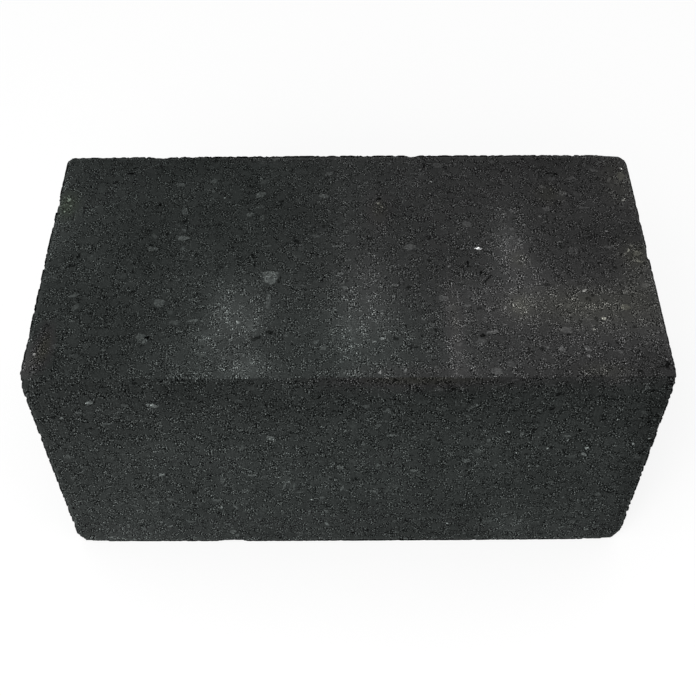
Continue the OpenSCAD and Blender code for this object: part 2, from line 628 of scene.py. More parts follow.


# Lime bloom and sand shades, listed: along, up, reach, rise, gain and warmth
TOP_CLOUDS = [
    (25, -58, 78, 36, 8.5, 0.0),
    (118, -40, 34, 30, 4.5, 0.0),
    (-57, -44, 15, 24, 13.0, 0.3),
    (-58, -35, 6, 9, 12.0, 0.0),
    (-45, -42, 5, 7, 12.0, 0.0),
    (-67, -52, 4, 4, 10.0, 0.0),
    (-46, -69, 7, 6, 17.0, 0.0),
    (-70, -72, 16, 6, 5.0, 0.0),
    (9, -35, 11, 32, 9.0, 0.3),
    (12, -12, 8, 13, 4.0, 0.0),
    (1, -54, 4, 17, 9.0, 0.0),
    (15, -35, 5, 9, 5.0, 0.0),
    (-2, 40, 3, 32, 3.5, 0.0),
    (5, 62, 14, 14, 2.0, 0.0),
    (81, 2, 7.5, 29, 17.0, 0.0),
    (80, 12, 4, 6, 8.0, 0.0),
    (52, -66, 5, 10, 8.0, 0.0),
    (-147, 22, 7, 22, 7.0, 0.0),
    (82, -32, 3.5, 4.5, 15.0, 0.55),
    (110, -33, 31, 10, 9.0, 0.5),
    (112, -30, 12, 6, 3.0, 0.2),
    (50, -45, 3, 18, 10.0, 0.55),
    (60, -28, 12, 14, 5.0, 0.0),
    (141, -16, 8, 18, 7.0, 0.3),
    (142, 56, 7, 14, 3.0, 0.45),
    (16, 33, 4, 9, 2.0, 0.9),
    (104, 44, 5, 5, 1.0, 0.6),
    (84, -2, 4, 5, 3.0, 0.5),
    (143, 1, 5, 5, 5.0, 0.7),
    (-144, 38, 4, 7, 10.0, -5.0),
    (-146, 12, 5, 8, 5.0, 0.0),
    (-147, -67, 3, 8, 18.0, 1.2),
    (-140, -56, 3, 10, -2.0, 2.3),
    (146, 52, 4, 10, 5.0, 0.0),
    (93, -17, 6, 7, 5.0, 0.0),
    (131, -46, 14, 7, 5.0, 0.0),
    (146, -56, 5, 7, 4.0, 0.0),
    (-6, -30, 5, 14, 4.0, 0.0),
    (31, -53, 6, 8, 4.0, 0.0),
    (-146, -52, 5, 20, 3.0, 0.5),
    (30, -72, 20, 3, 2.0, 0.45),
    (116, -71, 8, 3, 3.0, 0.5),
    (-135, 0, 95, 300, 0.0, -1.55),
    (10, -60, 25, 25, 0.0, -0.6),
    (-90, 76, 70, 4, 0.0, 0.8),
    (-50, 26, 26, 22, -2.5, 0.0),
    (-82, 70, 34, 8, -6.5, 0.0),
    (-115, -42, 30, 26, -3.5, 0.0),
    (-90, 15, 25, 25, -2.5, 0.0),
    (-69, -36, 5, 12, -4.0, 0.0),
    (-26, 25, 8, 35, -3.0, 0.0),
    (125, -13, 10, 8, -4.0, 0.0),
    (105, 68, 22, 10, -4.0, 0.0),
    (128, 12, 10, 8, -3.0, 0.0),
    (36, -28, 9, 22, -2.5, 0.0),
    (-36, -52, 7, 8, -7.0, 0.0),
    (65, -52, 8, 7, -4.0, 0.0),
    (93, -45, 6, 6, -4.0, 0.0),
    (143, -68, 9, 6, -5.0, 0.0),
]
FRONT_CLOUDS = [
    # Painted light: this broad paler cloud on the left and the broad darker one at 150 along stand in
    # for light that falls off from left to right across the front
    (-130, -30, 100, 60, 3.5, 0.0),
    (-140, 20, 14, 14, -5.0, 0.0),
    (-118, -68, 14, 6, 9.0, 0.0),
    (-18, -60, 18, 9, 5.0, 0.0),
    (112, -68, 14, 5, 6.0, 0.0),
    (0, -73, 200, 2.5, 4.0, 0.0),
    (18, -48, 7, 10, -4.0, 0.0),
    (20, 72, 60, 5, 1.0, 0.0),
    (-130, 58, 22, 8, 3.0, 0.0),
    # Painted shade on the right of the front
    (150, 20, 70, 70, -2.5, 0.0),
    (149, 5, 7, 70, -9.0, 0.0),
    (88, -58, 8, 12, 10.0, 0.0),
    (120, -58, 16, 10, 4.0, 0.0),
    (-120, -55, 34, 22, 3.0, 0.0),
    (-34, -16, 4, 9, 8.0, 0.0),
    (-37, -42, 6, 5, 5.0, 0.0),
    (-8, 40, 4, 5, 5.0, 0.0),
    (71, 22, 4, 7, 6.0, 0.0),
    (28, 16, 3, 6, 4.0, 0.0),
    (-35, 12, 3, 10, 3.0, 0.0),
    (70, -72, 30, 6, -4.0, 0.0),
    (110, 74, 45, 5, -1.0, 0.6),
    (30, 74, 28, 5, -1.0, 1.5),
    (122, 72, 3, 3, 10.0, 0.6),
    (0, 0, 300, 200, 0.0, -1.0),
]


def unfold_group(kind: str) -> Tree:
    """Makes the node group that lays the faces out flat, as BlockSize.sheets does.

    Args:
        kind: "ShaderNodeTree" or "GeometryNodeTree".

    Returns:
        The group: a place and the half size in; the place on its sheet, the mask of the top and
        underside, and the distance from the nearest arris out.
    """
    inputs = {"Place": "Vector", "Half size": "Vector"}
    outputs = {"Sheet": "Vector", "Bed": "Float", "From arris": "Float"}
    tree, given, out = new_tree("unfold_faces", kind, inputs, outputs)
    add = partial(add_node, tree)
    reach = add(VECTOR, {0: given["Place"]}, operation="ABSOLUTE")
    over = add(SPLIT, {0: add(VECTOR, {0: reach, 1: given["Half size"]}, operation="SUBTRACT")})
    over_y, over_z = over.node.outputs["Y"], over.node.outputs["Z"]
    x = add(SPLIT, {0: given["Place"]})
    y, z = x.node.outputs["Y"], x.node.outputs["Z"]
    level = add(MATH, {0: over, 1: over_y}, operation="MAXIMUM")
    bed = add(MATH, {0: over_z, 1: level}, operation="GREATER_THAN")
    cross = add(MATH, {0: over_y, 1: over_z}, operation="MAXIMUM")
    end = add(MATH, {0: over, 1: cross}, operation="GREATER_THAN")
    along = add(MIX, {0: end, 2: x, 3: y}, data_type="FLOAT")
    up = add(MIX, {0: bed, 2: z, 3: y}, data_type="FLOAT")
    outward = add(MIX, {0: end, 2: y, 3: x}, data_type="FLOAT")
    outward = add(MIX, {0: bed, 2: outward, 3: z}, data_type="FLOAT")
    side = add(MATH, {0: outward, 1: 0.0}, operation="GREATER_THAN")
    family = add(MATH, {0: add(MATH, {0: end, 1: bed}, operation="SUBTRACT"), 1: 1.0}, operation="ADD")
    number = add(MATH, {0: family, 1: 2.0, 2: side}, operation="MULTIPLY_ADD")
    start = add(MATH, {0: number, 1: SHEET_STEP, 2: along}, operation="MULTIPLY_ADD")
    least = add(MATH, {0: over, 1: over_y}, operation="MINIMUM")
    least = add(MATH, {0: least, 1: over_z}, operation="MINIMUM")
    total = add(MATH, {0: over, 1: over_y}, operation="ADD")
    total = add(MATH, {0: total, 1: over_z}, operation="ADD")
    from_arris = add(MATH, {0: least, 1: total}, operation="SUBTRACT")
    tree.links.new(add(JOIN, {"X": start, "Y": up}), out.inputs["Sheet"])
    tree.links.new(bed, out.inputs["Bed"])
    tree.links.new(from_arris, out.inputs["From arris"])
    return tree


def pits_group(kind: str) -> Tree:
    """Makes the node group of the holes that air and lost grains leave in a pressed face.

    Args:
        kind: "ShaderNodeTree" or "GeometryNodeTree".

    Returns:
        The group: a place on the sheets and the holes' spacing, radius and share of the
        spots that could have one in, depth out.
    """
    inputs = {"Sheet": "Vector", "Spacing": "Float", "Radius": "Float", "Share": "Float"}
    tree, given, out = new_tree("air_pits", kind, inputs, {"Depth": "Float"})
    add = partial(add_node, tree)
    density = add(MATH, {0: 1.0, 1: given["Spacing"]}, operation="DIVIDE")
    bent = add(NOISE, {"Vector": given["Sheet"], "Scale": 0.9, "Detail": 1.0}, **FLAT)
    wobble = add(VECTOR, {0: bent.node.outputs["Color"], 1: (0.5, 0.5, 0.5)}, operation="SUBTRACT")
    place = add(VECTOR, {0: wobble, 1: (1.5, 1.5, 0.0), 2: given["Sheet"]}, operation="MULTIPLY_ADD")
    cell = add(CELLS, {"Vector": place, "Scale": density}, voronoi_dimensions="2D")
    chance = add(SPLIT, {0: cell.node.outputs["Color"]})
    distance = add(MATH, {0: cell, 1: given["Spacing"]}, operation="MULTIPLY")
    radius = add(MATH, {0: chance, 1: 0.35}, operation="ADD")
    radius = add(MATH, {0: radius, 1: given["Radius"]}, operation="MULTIPLY")
    crowd = add(NOISE, {"Vector": given["Sheet"], "Scale": 1 / 32, "Detail": 2.0}, **FLAT)
    limit = add(MATH, {0: given["Share"], 1: crowd}, operation="MULTIPLY")
    there = add(MATH, {0: chance.node.outputs["Y"], 1: limit}, operation="LESS_THAN")
    reach = add(MATH, {0: distance, 1: radius}, operation="DIVIDE")
    hole = add(RANGE, {0: reach, 1: 1.0, 2: 0.45}, interpolation_type="SMOOTHSTEP")
    tree.links.new(add(MATH, {0: hole, 1: there}, operation="MULTIPLY"), out.inputs["Depth"])
    return tree


def spall_group() -> Tree:
    """Makes the node group that takes a corner off along a ragged plane.

    Returns:
        The group: a place, the plane and its raggedness in, the place and the break's mask out.
    """
    outputs = {"Place": "Vector", "Broken": "Float"}
    inputs = outputs | {"Point": "Vector", "Out": "Vector", "Ragged": "Float"}
    tree, given, out = new_tree("spall", "GeometryNodeTree", inputs, outputs)
    add = partial(add_node, tree)
    away = add(VECTOR, {0: given["Place"], 1: given["Point"]}, operation="SUBTRACT")
    height = add(VECTOR, {0: away, 1: given["Out"]}, operation="DOT_PRODUCT")
    past = add(MATH, {0: height, 1: given["Ragged"]}, operation="ADD")
    cut = add(MATH, {0: past, 1: 0.0}, operation="MAXIMUM")
    drop = add(VECTOR, {0: given["Out"], "Scale": cut}, operation="SCALE")
    place = add(VECTOR, {0: given["Place"], 1: drop}, operation="SUBTRACT")
    bared = add(RANGE, {0: past, 1: -0.1, 2: 0.4})
    broken = add(MATH, {0: bared, 1: given["Broken"]}, operation="MAXIMUM")
    tree.links.new(place, out.inputs["Place"])
    tree.links.new(broken, out.inputs["Broken"])
    return tree


def chip_group() -> Tree:
    """Makes the node group that scoops a ragged hollow with a ball.

    Returns:
        The group: a place, the ball and its raggedness in, the place and the break's mask out.
    """
    outputs = {"Place": "Vector", "Broken": "Float"}
    inputs = outputs | {"Centre": "Vector", "Radius": "Float", "Ragged": "Float"}
    tree, given, out = new_tree("arris_chip", "GeometryNodeTree", inputs, outputs)
    add = partial(add_node, tree)
    away = add(VECTOR, {0: given["Place"], 1: given["Centre"]}, operation="SUBTRACT")
    distance = add(VECTOR, {0: away}, operation="LENGTH")
    ragged = add(MATH, {0: given["Radius"], 1: given["Ragged"]}, operation="ADD")
    inside = add(MATH, {0: ragged, 1: distance}, operation="SUBTRACT")
    cut = add(MATH, {0: inside, 1: 0.0}, operation="MAXIMUM")
    outward = add(VECTOR, {0: away}, operation="NORMALIZE")
    push = add(VECTOR, {0: outward, "Scale": cut}, operation="SCALE")
    place = add(VECTOR, {0: given["Place"], 1: push}, operation="ADD")
    bared = add(RANGE, {0: inside, 1: -0.1, 2: 0.4})
    broken = add(MATH, {0: bared, 1: given["Broken"]}, operation="MAXIMUM")
    tree.links.new(place, out.inputs["Place"])
    tree.links.new(broken, out.inputs["Broken"])
    return tree


@dataclass(frozen=True)
class PressedConcrete:
    """Pigmented concrete, pressed and vibrated earth-moist in a steel mould.

    It was stripped while it still stood by itself, so its skin is open: each sand grain stands
    in a film of black pigment, with a pin hole beside it. To the eye that is a charcoal speckle
    that never shines, in which gravel, quartz and lime bloom show pale.

    Attributes:
        slate: Colour of the paste where the pigment is rich, at the middle level.
        paste: Colour of the plain paste, at the middle level.
        sand: Colour where bare sand shows through the pigment, at the middle level.
        algae: Colour of a thin bloom of green algae, at the middle level.
        bed_base: Grey level of the paste of the top and underside, between its grains.
        side_base: Grey level of the paste of the side faces, between its grains.
        darkest: Grey level that no part of the paste is below.
        grain: Width of a sand grain.
        speckle: How far grains stand out, as a share of the paste's light.
        patch: Width of the patches in which the skin is open or closed.
        pore: How much darker pin holes are, as a share of the paste's light: painted shade in them.
        dome_highlight: Grey levels of the painted highlight on a stone that swells under the skin.
        crevice_shade: Grey levels of the painted shade in the ring round such a stone.
        stone_shadow: Grey levels of the painted shadow in a broken band beside a flush stone.
        fresh: Grey levels that a broken surface adds.
        film: Grey levels of the painted shade on the arrises, drawn as a torn dark film.
        rim: Grey levels that the paler band inside that film adds.
        mottle: Grey levels between the darkest and the palest of the broad unevenness.
        drag: The same for the lines that the mould drew.
        upper_darkening: Grey levels that the upper part of the side faces adds.
        gloss: Share of the usual reflection that the open skin keeps.
    """

    slate: str = "#323534"
    paste: str = "#343434"
    sand: str = "#363632"
    algae: str = "#313630"
    bed_base: float = 51.2
    side_base: float = 51.2
    darkest: float = 4.0
    grain: float = 0.84
    speckle: float = 4.0
    patch: float = 5.0
    pore: float = 0.85
    dome_highlight: float = 2.0
    crevice_shade: float = -6.0
    stone_shadow: float = -15.0
    fresh: float = 3.0
    film: float = -58.0
    rim: float = 10.0
    mottle: float = 12.0
    drag: float = 12.0
    upper_darkening: float = -6.0
    gloss: float = 0.0

    def material(self, size: BlockSize) -> bpy.types.Material:
        """Makes the material.

        Args:
            size: The block's size.

        Returns:
            The material.
        """
        material = bpy.data.materials.new("pressed_pigmented_concrete")
        material.use_nodes = True
        tree = material.node_tree
        shader = tree.nodes["Principled BSDF"]
        add = partial(add_node, tree)
        sheet, bed, from_arris = self.unfolded(tree, size)
        worn, gone, dirt, haze, warmth = (
            add(ATTRIBUTE, attribute_name=name).node.outputs["Fac"]
            for name in ("worn", "gone", "dirt", "haze", "warmth")
        )
        stretch = add(MIX, {0: bed, 4: (1.0, 0.6, 1.0), 5: (1.0, 1.0, 1.0)}, data_type="VECTOR")
        drawn = add(VECTOR, {0: sheet, 1: stretch}, operation="MULTIPLY")
        patch = add(NOISE, {"Vector": sheet, "Scale": 1 / self.patch, "Detail": 2.0}, **FLAT)
        open_skin = add(RANGE, {0: patch, 1: 0.36, 2: 0.66, 3: 0.2, 4: 1.9})
        grain, dome = self.grains(tree, drawn, open_skin)
        hole = self.pores(tree, sheet)
        hole = add(MATH, {0: hole, 1: open_skin}, operation="MULTIPLY", use_clamp=True)
        bump, crevice_shade = self.gravel(tree, sheet)
        mark, stone_shadow, mark_gain, mark_warmth = self.marks(tree, sheet)

        shade = add(MATH, {0: mark_gain, 1: self.rind(tree, sheet)}, operation="MULTIPLY")
        edge = self.painted_arris_shade(tree, sheet, from_arris, gone)
        # Painted light: a highlight on the stones' domes, and painted shade in the rings round them,
        # in a band right of each flush stone, in the holes among the marks and on the arrises but the
        # front one of the top
        gains = [(bump, self.dome_highlight), (crevice_shade, self.crevice_shade), (mark, shade)]
        gains += [(stone_shadow, self.stone_shadow), (worn, self.fresh), (edge, dirt)]
        level = self.paste_level(tree, sheet, bed, haze)
        for mask, gain in gains:
            level = add(MATH, {0: mask, 1: gain, 2: level}, operation="MULTIPLY_ADD")
        level = add(MATH, {0: level, 1: self.darkest}, operation="MAXIMUM")
        warm = add(MATH, {0: mark, 1: mark_warmth, 2: warmth}, operation="MULTIPLY_ADD")
        speckle = self.speckled(tree, grain, hole, mark)
        tree.links.new(self.coloured(tree, level, warm, speckle), shader.inputs["Base Color"])

        # Relief too fine for the mesh: grains, pin holes and the edges of stones
        height = add(MATH, {0: hole, 1: -0.25, 2: dome}, operation="MULTIPLY_ADD")
        height = add(MATH, {0: bump, 1: 0.12, 2: height}, operation="MULTIPLY_ADD")
        lift = add(RANGE, {0: mark_gain, 1: -12.0, 2: 12.0, 3: -0.4, 4: 0.12})
        height = add(MATH, {0: mark, 1: lift, 2: height}, operation="MULTIPLY_ADD")
        normal = add("ShaderNodeBump", {"Strength": 0.8, "Distance": MM, "Height": height})
        tree.links.new(normal, shader.inputs["Normal"])

        # Crests are rubbed a little smoother than the paste, and quartz is smooth by itself
        rough = add(RANGE, {0: grain, 1: -0.1, 2: 1.5, 3: 0.97, 4: 0.84})
        smooth = add(RANGE, {0: mark_gain, 1: 10.0, 2: 90.0, 3: 0.0, 4: 0.45})
        polish = add(MATH, {0: mark, 1: smooth}, operation="MULTIPLY")
        rough = add(MATH, {0: rough, 1: polish}, operation="SUBTRACT")
        tree.links.new(rough, shader.inputs["Roughness"])
        shader.inputs["Specular IOR Level"].default_value = self.gloss
        shader.inputs["Diffuse Roughness"].default_value = 0.5
        return material

    def unfolded(self, tree: Tree, size: BlockSize) -> tuple[Socket, Socket, Socket]:
        """Lays the faces out flat.

        Args:
            tree: The material's tree.
            size: The block's size.

        Returns:
            The place on the sheets, the mask of the top and underside, and the distance from
            the nearest arris.
        """
        spot = add_node(tree, "ShaderNodeTexCoord").node.outputs["Object"]
        centre = (0.0, 0.0, -size.half.z)
        scale = (1 / MM, 1 / MM, 1 / MM)
        place = add_node(tree, VECTOR, {0: spot, 1: scale, 2: centre}, operation="MULTIPLY_ADD")
        inputs = {"Place": place, "Half size": size.half}
        group = unfold_group("ShaderNodeTree")
        sheet = add_node(tree, SHADER_GROUP, inputs, node_tree=group)
        return sheet, sheet.node.outputs["Bed"], sheet.node.outputs["From arris"]

    def paste_level(self, tree: Tree, sheet: Socket, bed: Socket, haze: Socket) -> Socket:
        """Works out the grey of the paste, with its clouds of lime bloom and tone, and painted light
        across the front.

        Args:
            tree: The material's tree.
            sheet: The place on the sheets.
            bed: The mask of the top and underside.
            haze: Grey levels that the clouds add.

        Returns:
            The grey level.
        """
        add = partial(add_node, tree)
        base = add(MIX, {0: bed, 2: self.side_base, 3: self.bed_base}, data_type="FLOAT")
        bloom = add(NOISE, {"Vector": sheet, "Scale": 1 / 5, "Detail": 3.0}, **FLAT)
        bloom = add(RANGE, {0: bloom, 1: 0.35, 2: 0.65, 3: 0.7, 4: 1.3})
        level = add(MATH, {0: haze, 1: bloom, 2: base}, operation="MULTIPLY_ADD")
        uneven = self.unevenness(tree, sheet, bed)
        return add(MATH, {0: level, 1: uneven}, operation="ADD")

    def unevenness(self, tree: Tree, sheet: Socket, bed: Socket) -> Socket:
        """Works out the broad unevenness of the pigment and the marks of stripping.

        Args:
            tree: The material's tree.
            sheet: The place on the sheets.
            bed: The mask of the top and underside.

        Returns:
            The grey levels that they add.
        """
        add = partial(add_node, tree)
        mottle = add(NOISE, {"Vector": sheet, "Scale": 1 / 26, "Detail": 3.0}, **FLAT)
        mottle = add(MATH, {0: mottle, 1: 0.5}, operation="SUBTRACT")
        mottle = add(MATH, {0: mottle, 1: self.mottle}, operation="MULTIPLY")

        # The mould wall drew fine lines up the side faces as the block was pushed out
        drawn = add(VECTOR, {0: sheet, 1: (1.0, 0.04, 1.0)}, operation="MULTIPLY")
        drag = add(NOISE, {"Vector": drawn, "Scale": 1.0, "Detail": 2.0}, **FLAT)
        drag = add(MATH, {0: drag, 1: 0.5}, operation="SUBTRACT")

        # The side faces are darker towards the top
        up = add(SPLIT, {0: sheet}).node.outputs["Y"]
        upper_darkening = add(RANGE, {0: up, 1: 24.0, 2: 58.0, 3: 0.0, 4: self.upper_darkening})
        side = add(MATH, {0: drag, 1: self.drag, 2: upper_darkening}, operation="MULTIPLY_ADD")
        side = add(MIX, {0: bed, 2: side, 3: 0.0}, data_type="FLOAT")
        return add(MATH, {0: side, 1: mottle}, operation="ADD")

    def painted_arris_shade(self, tree: Tree, sheet: Socket, from_arris: Socket, gone: Socket) -> Socket:
        """Works out the painted shade on the arrises, drawn as a torn dark film, and the paler band
        inside it.

        Args:
            tree: The material's tree.
            sheet: The place on the sheets.
            from_arris: Distance from the nearest arris.
            gone: How far the arrises have crumbled.

        Returns:
            The grey levels that they add where the arrises get painted shade.
        """
        add = partial(add_node, tree)
        inward = add(MATH, {0: gone, 1: -1.2, 2: from_arris}, operation="MULTIPLY_ADD")
        # Painted shade: a torn dark line along the arrises
        film = add(RANGE, {0: inward, 1: 2.0, 2: 1.35, 3: 0.0, 4: self.film})
        torn = add(NOISE, {"Vector": sheet, "Scale": 1 / 2.5, "Detail": 1.0}, **FLAT)
        torn = add(RANGE, {0: torn, 1: 0.36, 2: 0.5, 3: 0.4, 4: 1.0})
        film = add(MATH, {0: film, 1: torn}, operation="MULTIPLY")

        # The back and the ends keep less of this painted shade
        before_back = (Face.BACK.value - 0.5) * SHEET_STEP
        back_or_end = add(MATH, {0: add(SPLIT, {0: sheet}), 1: before_back}, operation="GREATER_THAN")
        thin = add(MIX, {0: back_or_end, 2: 1.0, 3: 0.3}, data_type="FLOAT")
        film = add(MATH, {0: film, 1: thin}, operation="MULTIPLY")
        rim = add(RANGE, {0: inward, 1: 3.7, 2: 2.2, 3: 0.0, 4: self.rim})
        return add(MATH, {0: film, 1: rim}, operation="ADD")

    def grains(self, tree: Tree, sheet: Socket, open_skin: Socket) -> tuple[Socket, Socket]:
        """Draws the sand grains, each with a grey of its own.

        The real sand goes down to a tenth of a millimetre. Only its coarsest grains are drawn,
        each a pale crest in its film of pigment, since no finer ones are seen at arm's length.

        Args:
            tree: The material's tree.
            sheet: The place on the sheets.
            open_skin: How open the skin is, with a mean of 1.

        Returns:
            How much more light the grains give than the paste, -1 or more with a mean of 0, and
            their height.
        """
        add = partial(add_node, tree)
        cells = add(CELLS, {"Vector": sheet, "Scale": 1 / self.grain}, voronoi_dimensions="2D")
        tone = add(SPLIT, {0: cells.node.outputs["Color"]})
        weight = add(MATH, {0: tone, 1: 4.0}, operation="POWER")
        weight = add(MATH, {0: weight, 1: 1.7, 2: 0.33}, operation="MULTIPLY_ADD")
        crest = add(RANGE, {0: cells, 1: 0.42, 2: 0.0})
        crest = add(MATH, {0: crest, 1: 1.5}, operation="POWER")
        film = add(RANGE, {0: cells, 1: 0.45, 2: 0.8, 3: -0.08, 4: -0.11})
        grains = add(MATH, {0: crest, 1: weight, 2: film}, operation="MULTIPLY_ADD")
        fine = add(NOISE, {"Vector": sheet, "Scale": 1 / 0.5, "Detail": 0.0}, **FLAT)
        fine = add(RANGE, {0: fine, 1: 0.25, 2: 0.75, 3: -0.15, 4: 0.15})
        grains = add(MATH, {0: grains, 1: fine}, operation="ADD")
        grains = add(MATH, {0: grains, 1: open_skin}, operation="MULTIPLY")
        dome = add(RANGE, {0: cells, 1: 0.0, 2: 0.5, 3: 0.06, 4: 0.0})
        return grains, add(MATH, {0: dome, 1: open_skin}, operation="MULTIPLY")

    def pores(self, tree: Tree, sheet: Socket) -> Socket:
        """Draws the pin holes, which crowd together in places.

        Args:
            tree: The material's tree.
            sheet: The place on the sheets.

        Returns:
            The holes' mask.
        """
        inputs = {"Sheet": sheet, "Spacing": 1.2, "Radius": 0.36, "Share": 0.9}
        return add_node(tree, SHADER_GROUP, inputs, node_tree=pits_group("ShaderNodeTree"))

    def gravel(self, tree: Tree, sheet: Socket) -> tuple[Socket, Socket]:
        """Draws the stones that swell under the skin, each in a broken ring of painted shade.

        Args:
            tree: The material's tree.
            sheet: The place on the sheets.

        Returns:
            The stones' height from 0 to 1, which also sets their painted highlight, and the mask of
            the painted shade in the rings round them.
        """
        add = partial(add_node, tree)
        bent = add(NOISE, {"Vector": sheet, "Scale": 1 / 4, "Detail": 2.0}, **FLAT)
        bent = bent.node.outputs["Color"]
        bent = add(VECTOR, {0: bent, 1: (0.5, 0.5, 0.5)}, operation="SUBTRACT")
        place = add(VECTOR, {0: bent, 1: (4.0, 4.0, 0.0), 2: sheet}, operation="MULTIPLY_ADD")
        cell = add(CELLS, {"Vector": place, "Scale": 1 / 8.5}, voronoi_dimensions="2D")
        chance = add(SPLIT, {0: cell.node.outputs["Color"]})
        there = add(MATH, {0: chance.node.outputs["Y"], 1: 0.42}, operation="LESS_THAN")
        radius = add(RANGE, {0: chance, 3: 0.16, 4: 0.36})
        reach = add(MATH, {0: cell, 1: radius}, operation="DIVIDE")
        bump = add(RANGE, {0: reach, 1: 1.0, 2: 0.4}, interpolation_type="SMOOTHSTEP")
        bump = add(MATH, {0: bump, 1: there}, operation="MULTIPLY")
        # Painted shade in a broken ring round each stone
        rim = add(MATH, {0: reach, 1: 1.02}, operation="SUBTRACT")
        rim = add(MATH, {0: rim}, operation="ABSOLUTE")
        ring = add(RANGE, {0: rim, 1: 0.26, 2: 0.06}, interpolation_type="SMOOTHSTEP")
        gap = add(NOISE, {"Vector": sheet, "Scale": 1 / 2.6, "Detail": 1.0}, **FLAT)
        gap = add(RANGE, {0: gap, 1: 0.45, 2: 0.58})
        for share in (there, gap):
            ring = add(MATH, {0: ring, 1: share}, operation="MULTIPLY")
        return bump, ring

    def rind(self, tree: Tree, sheet: Socket) -> Socket:
        """Works out how much of a stone's own grey shows through the pigment that clings to it.

        Args:
            tree: The material's tree.
            sheet: The place on the sheets.

        Returns:
            What the stone's gain is multiplied by.
        """
        add = partial(add_node, tree)
        rind = add(NOISE, {"Vector": sheet, "Scale": 1 / 1.2, "Detail": 1.0}, **FLAT)
        return add(RANGE, {0: rind, 1: 0.35, 2: 0.65, 3: 0.8, 4: 1.8})

    def marks(self, tree: Tree, sheet: Socket) -> tuple[Socket, Socket, Socket, Socket]:
        """Draws the mark whose numbers the triangle carries.

        Args:
            tree: The material's tree.
            sheet: The place on the sheets.

        Returns:
            The mark's mask, the mask of the painted shadow in a broken band on its right, its gain
            and its warmth.
        """
        add = partial(add_node, tree)
        centre, axis, look = (
            add(ATTRIBUTE, attribute_name=name).node.outputs["Vector"]
            for name in ("mark_centre", "mark_axis", "mark_look")
        )
        look = add(SPLIT, {0: look})
        away = add(VECTOR, {0: sheet, 1: centre}, operation="SUBTRACT")
        away = add(VECTOR, {0: away, 1: (1.0, 1.0, 0.0)}, operation="MULTIPLY")
        lengthwise = add(VECTOR, {0: away, 1: axis}, operation="DOT_PRODUCT")
        axis_x = add(SPLIT, {0: axis})
        back = add(MATH, {0: axis_x.node.outputs["Y"], 1: -1.0}, operation="MULTIPLY")
        square = add(JOIN, {"X": back, "Y": axis_x})
        crosswise = add(VECTOR, {0: away, 1: square}, operation="DOT_PRODUCT")
        crosswise = add(MATH, {0: crosswise, 1: look}, operation="MULTIPLY")
        reach = add(VECTOR, {0: add(JOIN, {"X": lengthwise, "Y": crosswise})}, operation="LENGTH")

        # Distance past the oval in millimetres, made ragged
        past = add(MATH, {0: reach, 1: 1.0}, operation="SUBTRACT")
        past = add(MATH, {0: past, 1: add(VECTOR, {0: axis}, operation="LENGTH")}, operation="DIVIDE")
        ragged = add(NOISE, {"Vector": sheet, "Scale": 1 / 1.5, "Detail": 2.0}, **FLAT)
        past = add(MATH, {0: ragged, 1: 3.2, 2: past}, operation="MULTIPLY_ADD")
        mask = add(RANGE, {0: past, 1: 1.85, 2: 1.35}, interpolation_type="SMOOTHSTEP")
        # Painted shadow in a broken band just outside the stone, strongest on its right
        round_it = add(RANGE, {0: past, 1: 3.0, 2: 2.0})
        stone_shadow = add(MATH, {0: round_it, 1: mask}, operation="SUBTRACT")
        gain = look.node.outputs["Y"]
        gap = add(NOISE, {"Vector": sheet, "Scale": 1 / 2.2, "Detail": 1.0}, **FLAT)
        gap = add(RANGE, {0: gap, 1: 0.42, 2: 0.58})
        right = add(SPLIT, {0: away})
        shadow_side = add(RANGE, {0: right, 1: -1.0, 2: 1.5, 3: 0.15, 4: 1.0})
        proud = add(RANGE, {0: gain, 1: 4.0, 2: 20.0})
        for share in (gap, shadow_side, proud):
            stone_shadow = add(MATH, {0: stone_shadow, 1: share}, operation="MULTIPLY")
        return mask, stone_shadow, gain, look.node.outputs["Z"]

    def speckled(self, tree: Tree, grain: Socket, hole: Socket, mark: Socket) -> Socket:
        """Works out the light that grains leave and the painted shade in pin holes, of which stones
        have few.

        Args:
            tree: The material's tree.
            grain: How much more light the grains give than the paste.
            hole: The mask of the pin holes.
            mark: The mask of the stones.

        Returns:
            What the paste's light is multiplied by.
        """
        add = partial(add_node, tree)
        plain = add(MATH, {0: mark, 1: -0.55, 2: 1.0}, operation="MULTIPLY_ADD")
        speckle = add(MATH, {0: grain, 1: self.speckle}, operation="MULTIPLY")
        speckle = add(MATH, {0: speckle, 1: plain, 2: 1.0}, operation="MULTIPLY_ADD")
        # Painted shade in the pin holes
        shut = add(MATH, {0: hole, 1: plain}, operation="MULTIPLY")
        shut = add(MATH, {0: shut, 1: -self.pore, 2: 1.0}, operation="MULTIPLY_ADD")
        speckle = add(MATH, {0: speckle, 1: shut}, operation="MULTIPLY")
        return add(MATH, {0: speckle, 1: 0.06}, operation="MAXIMUM")

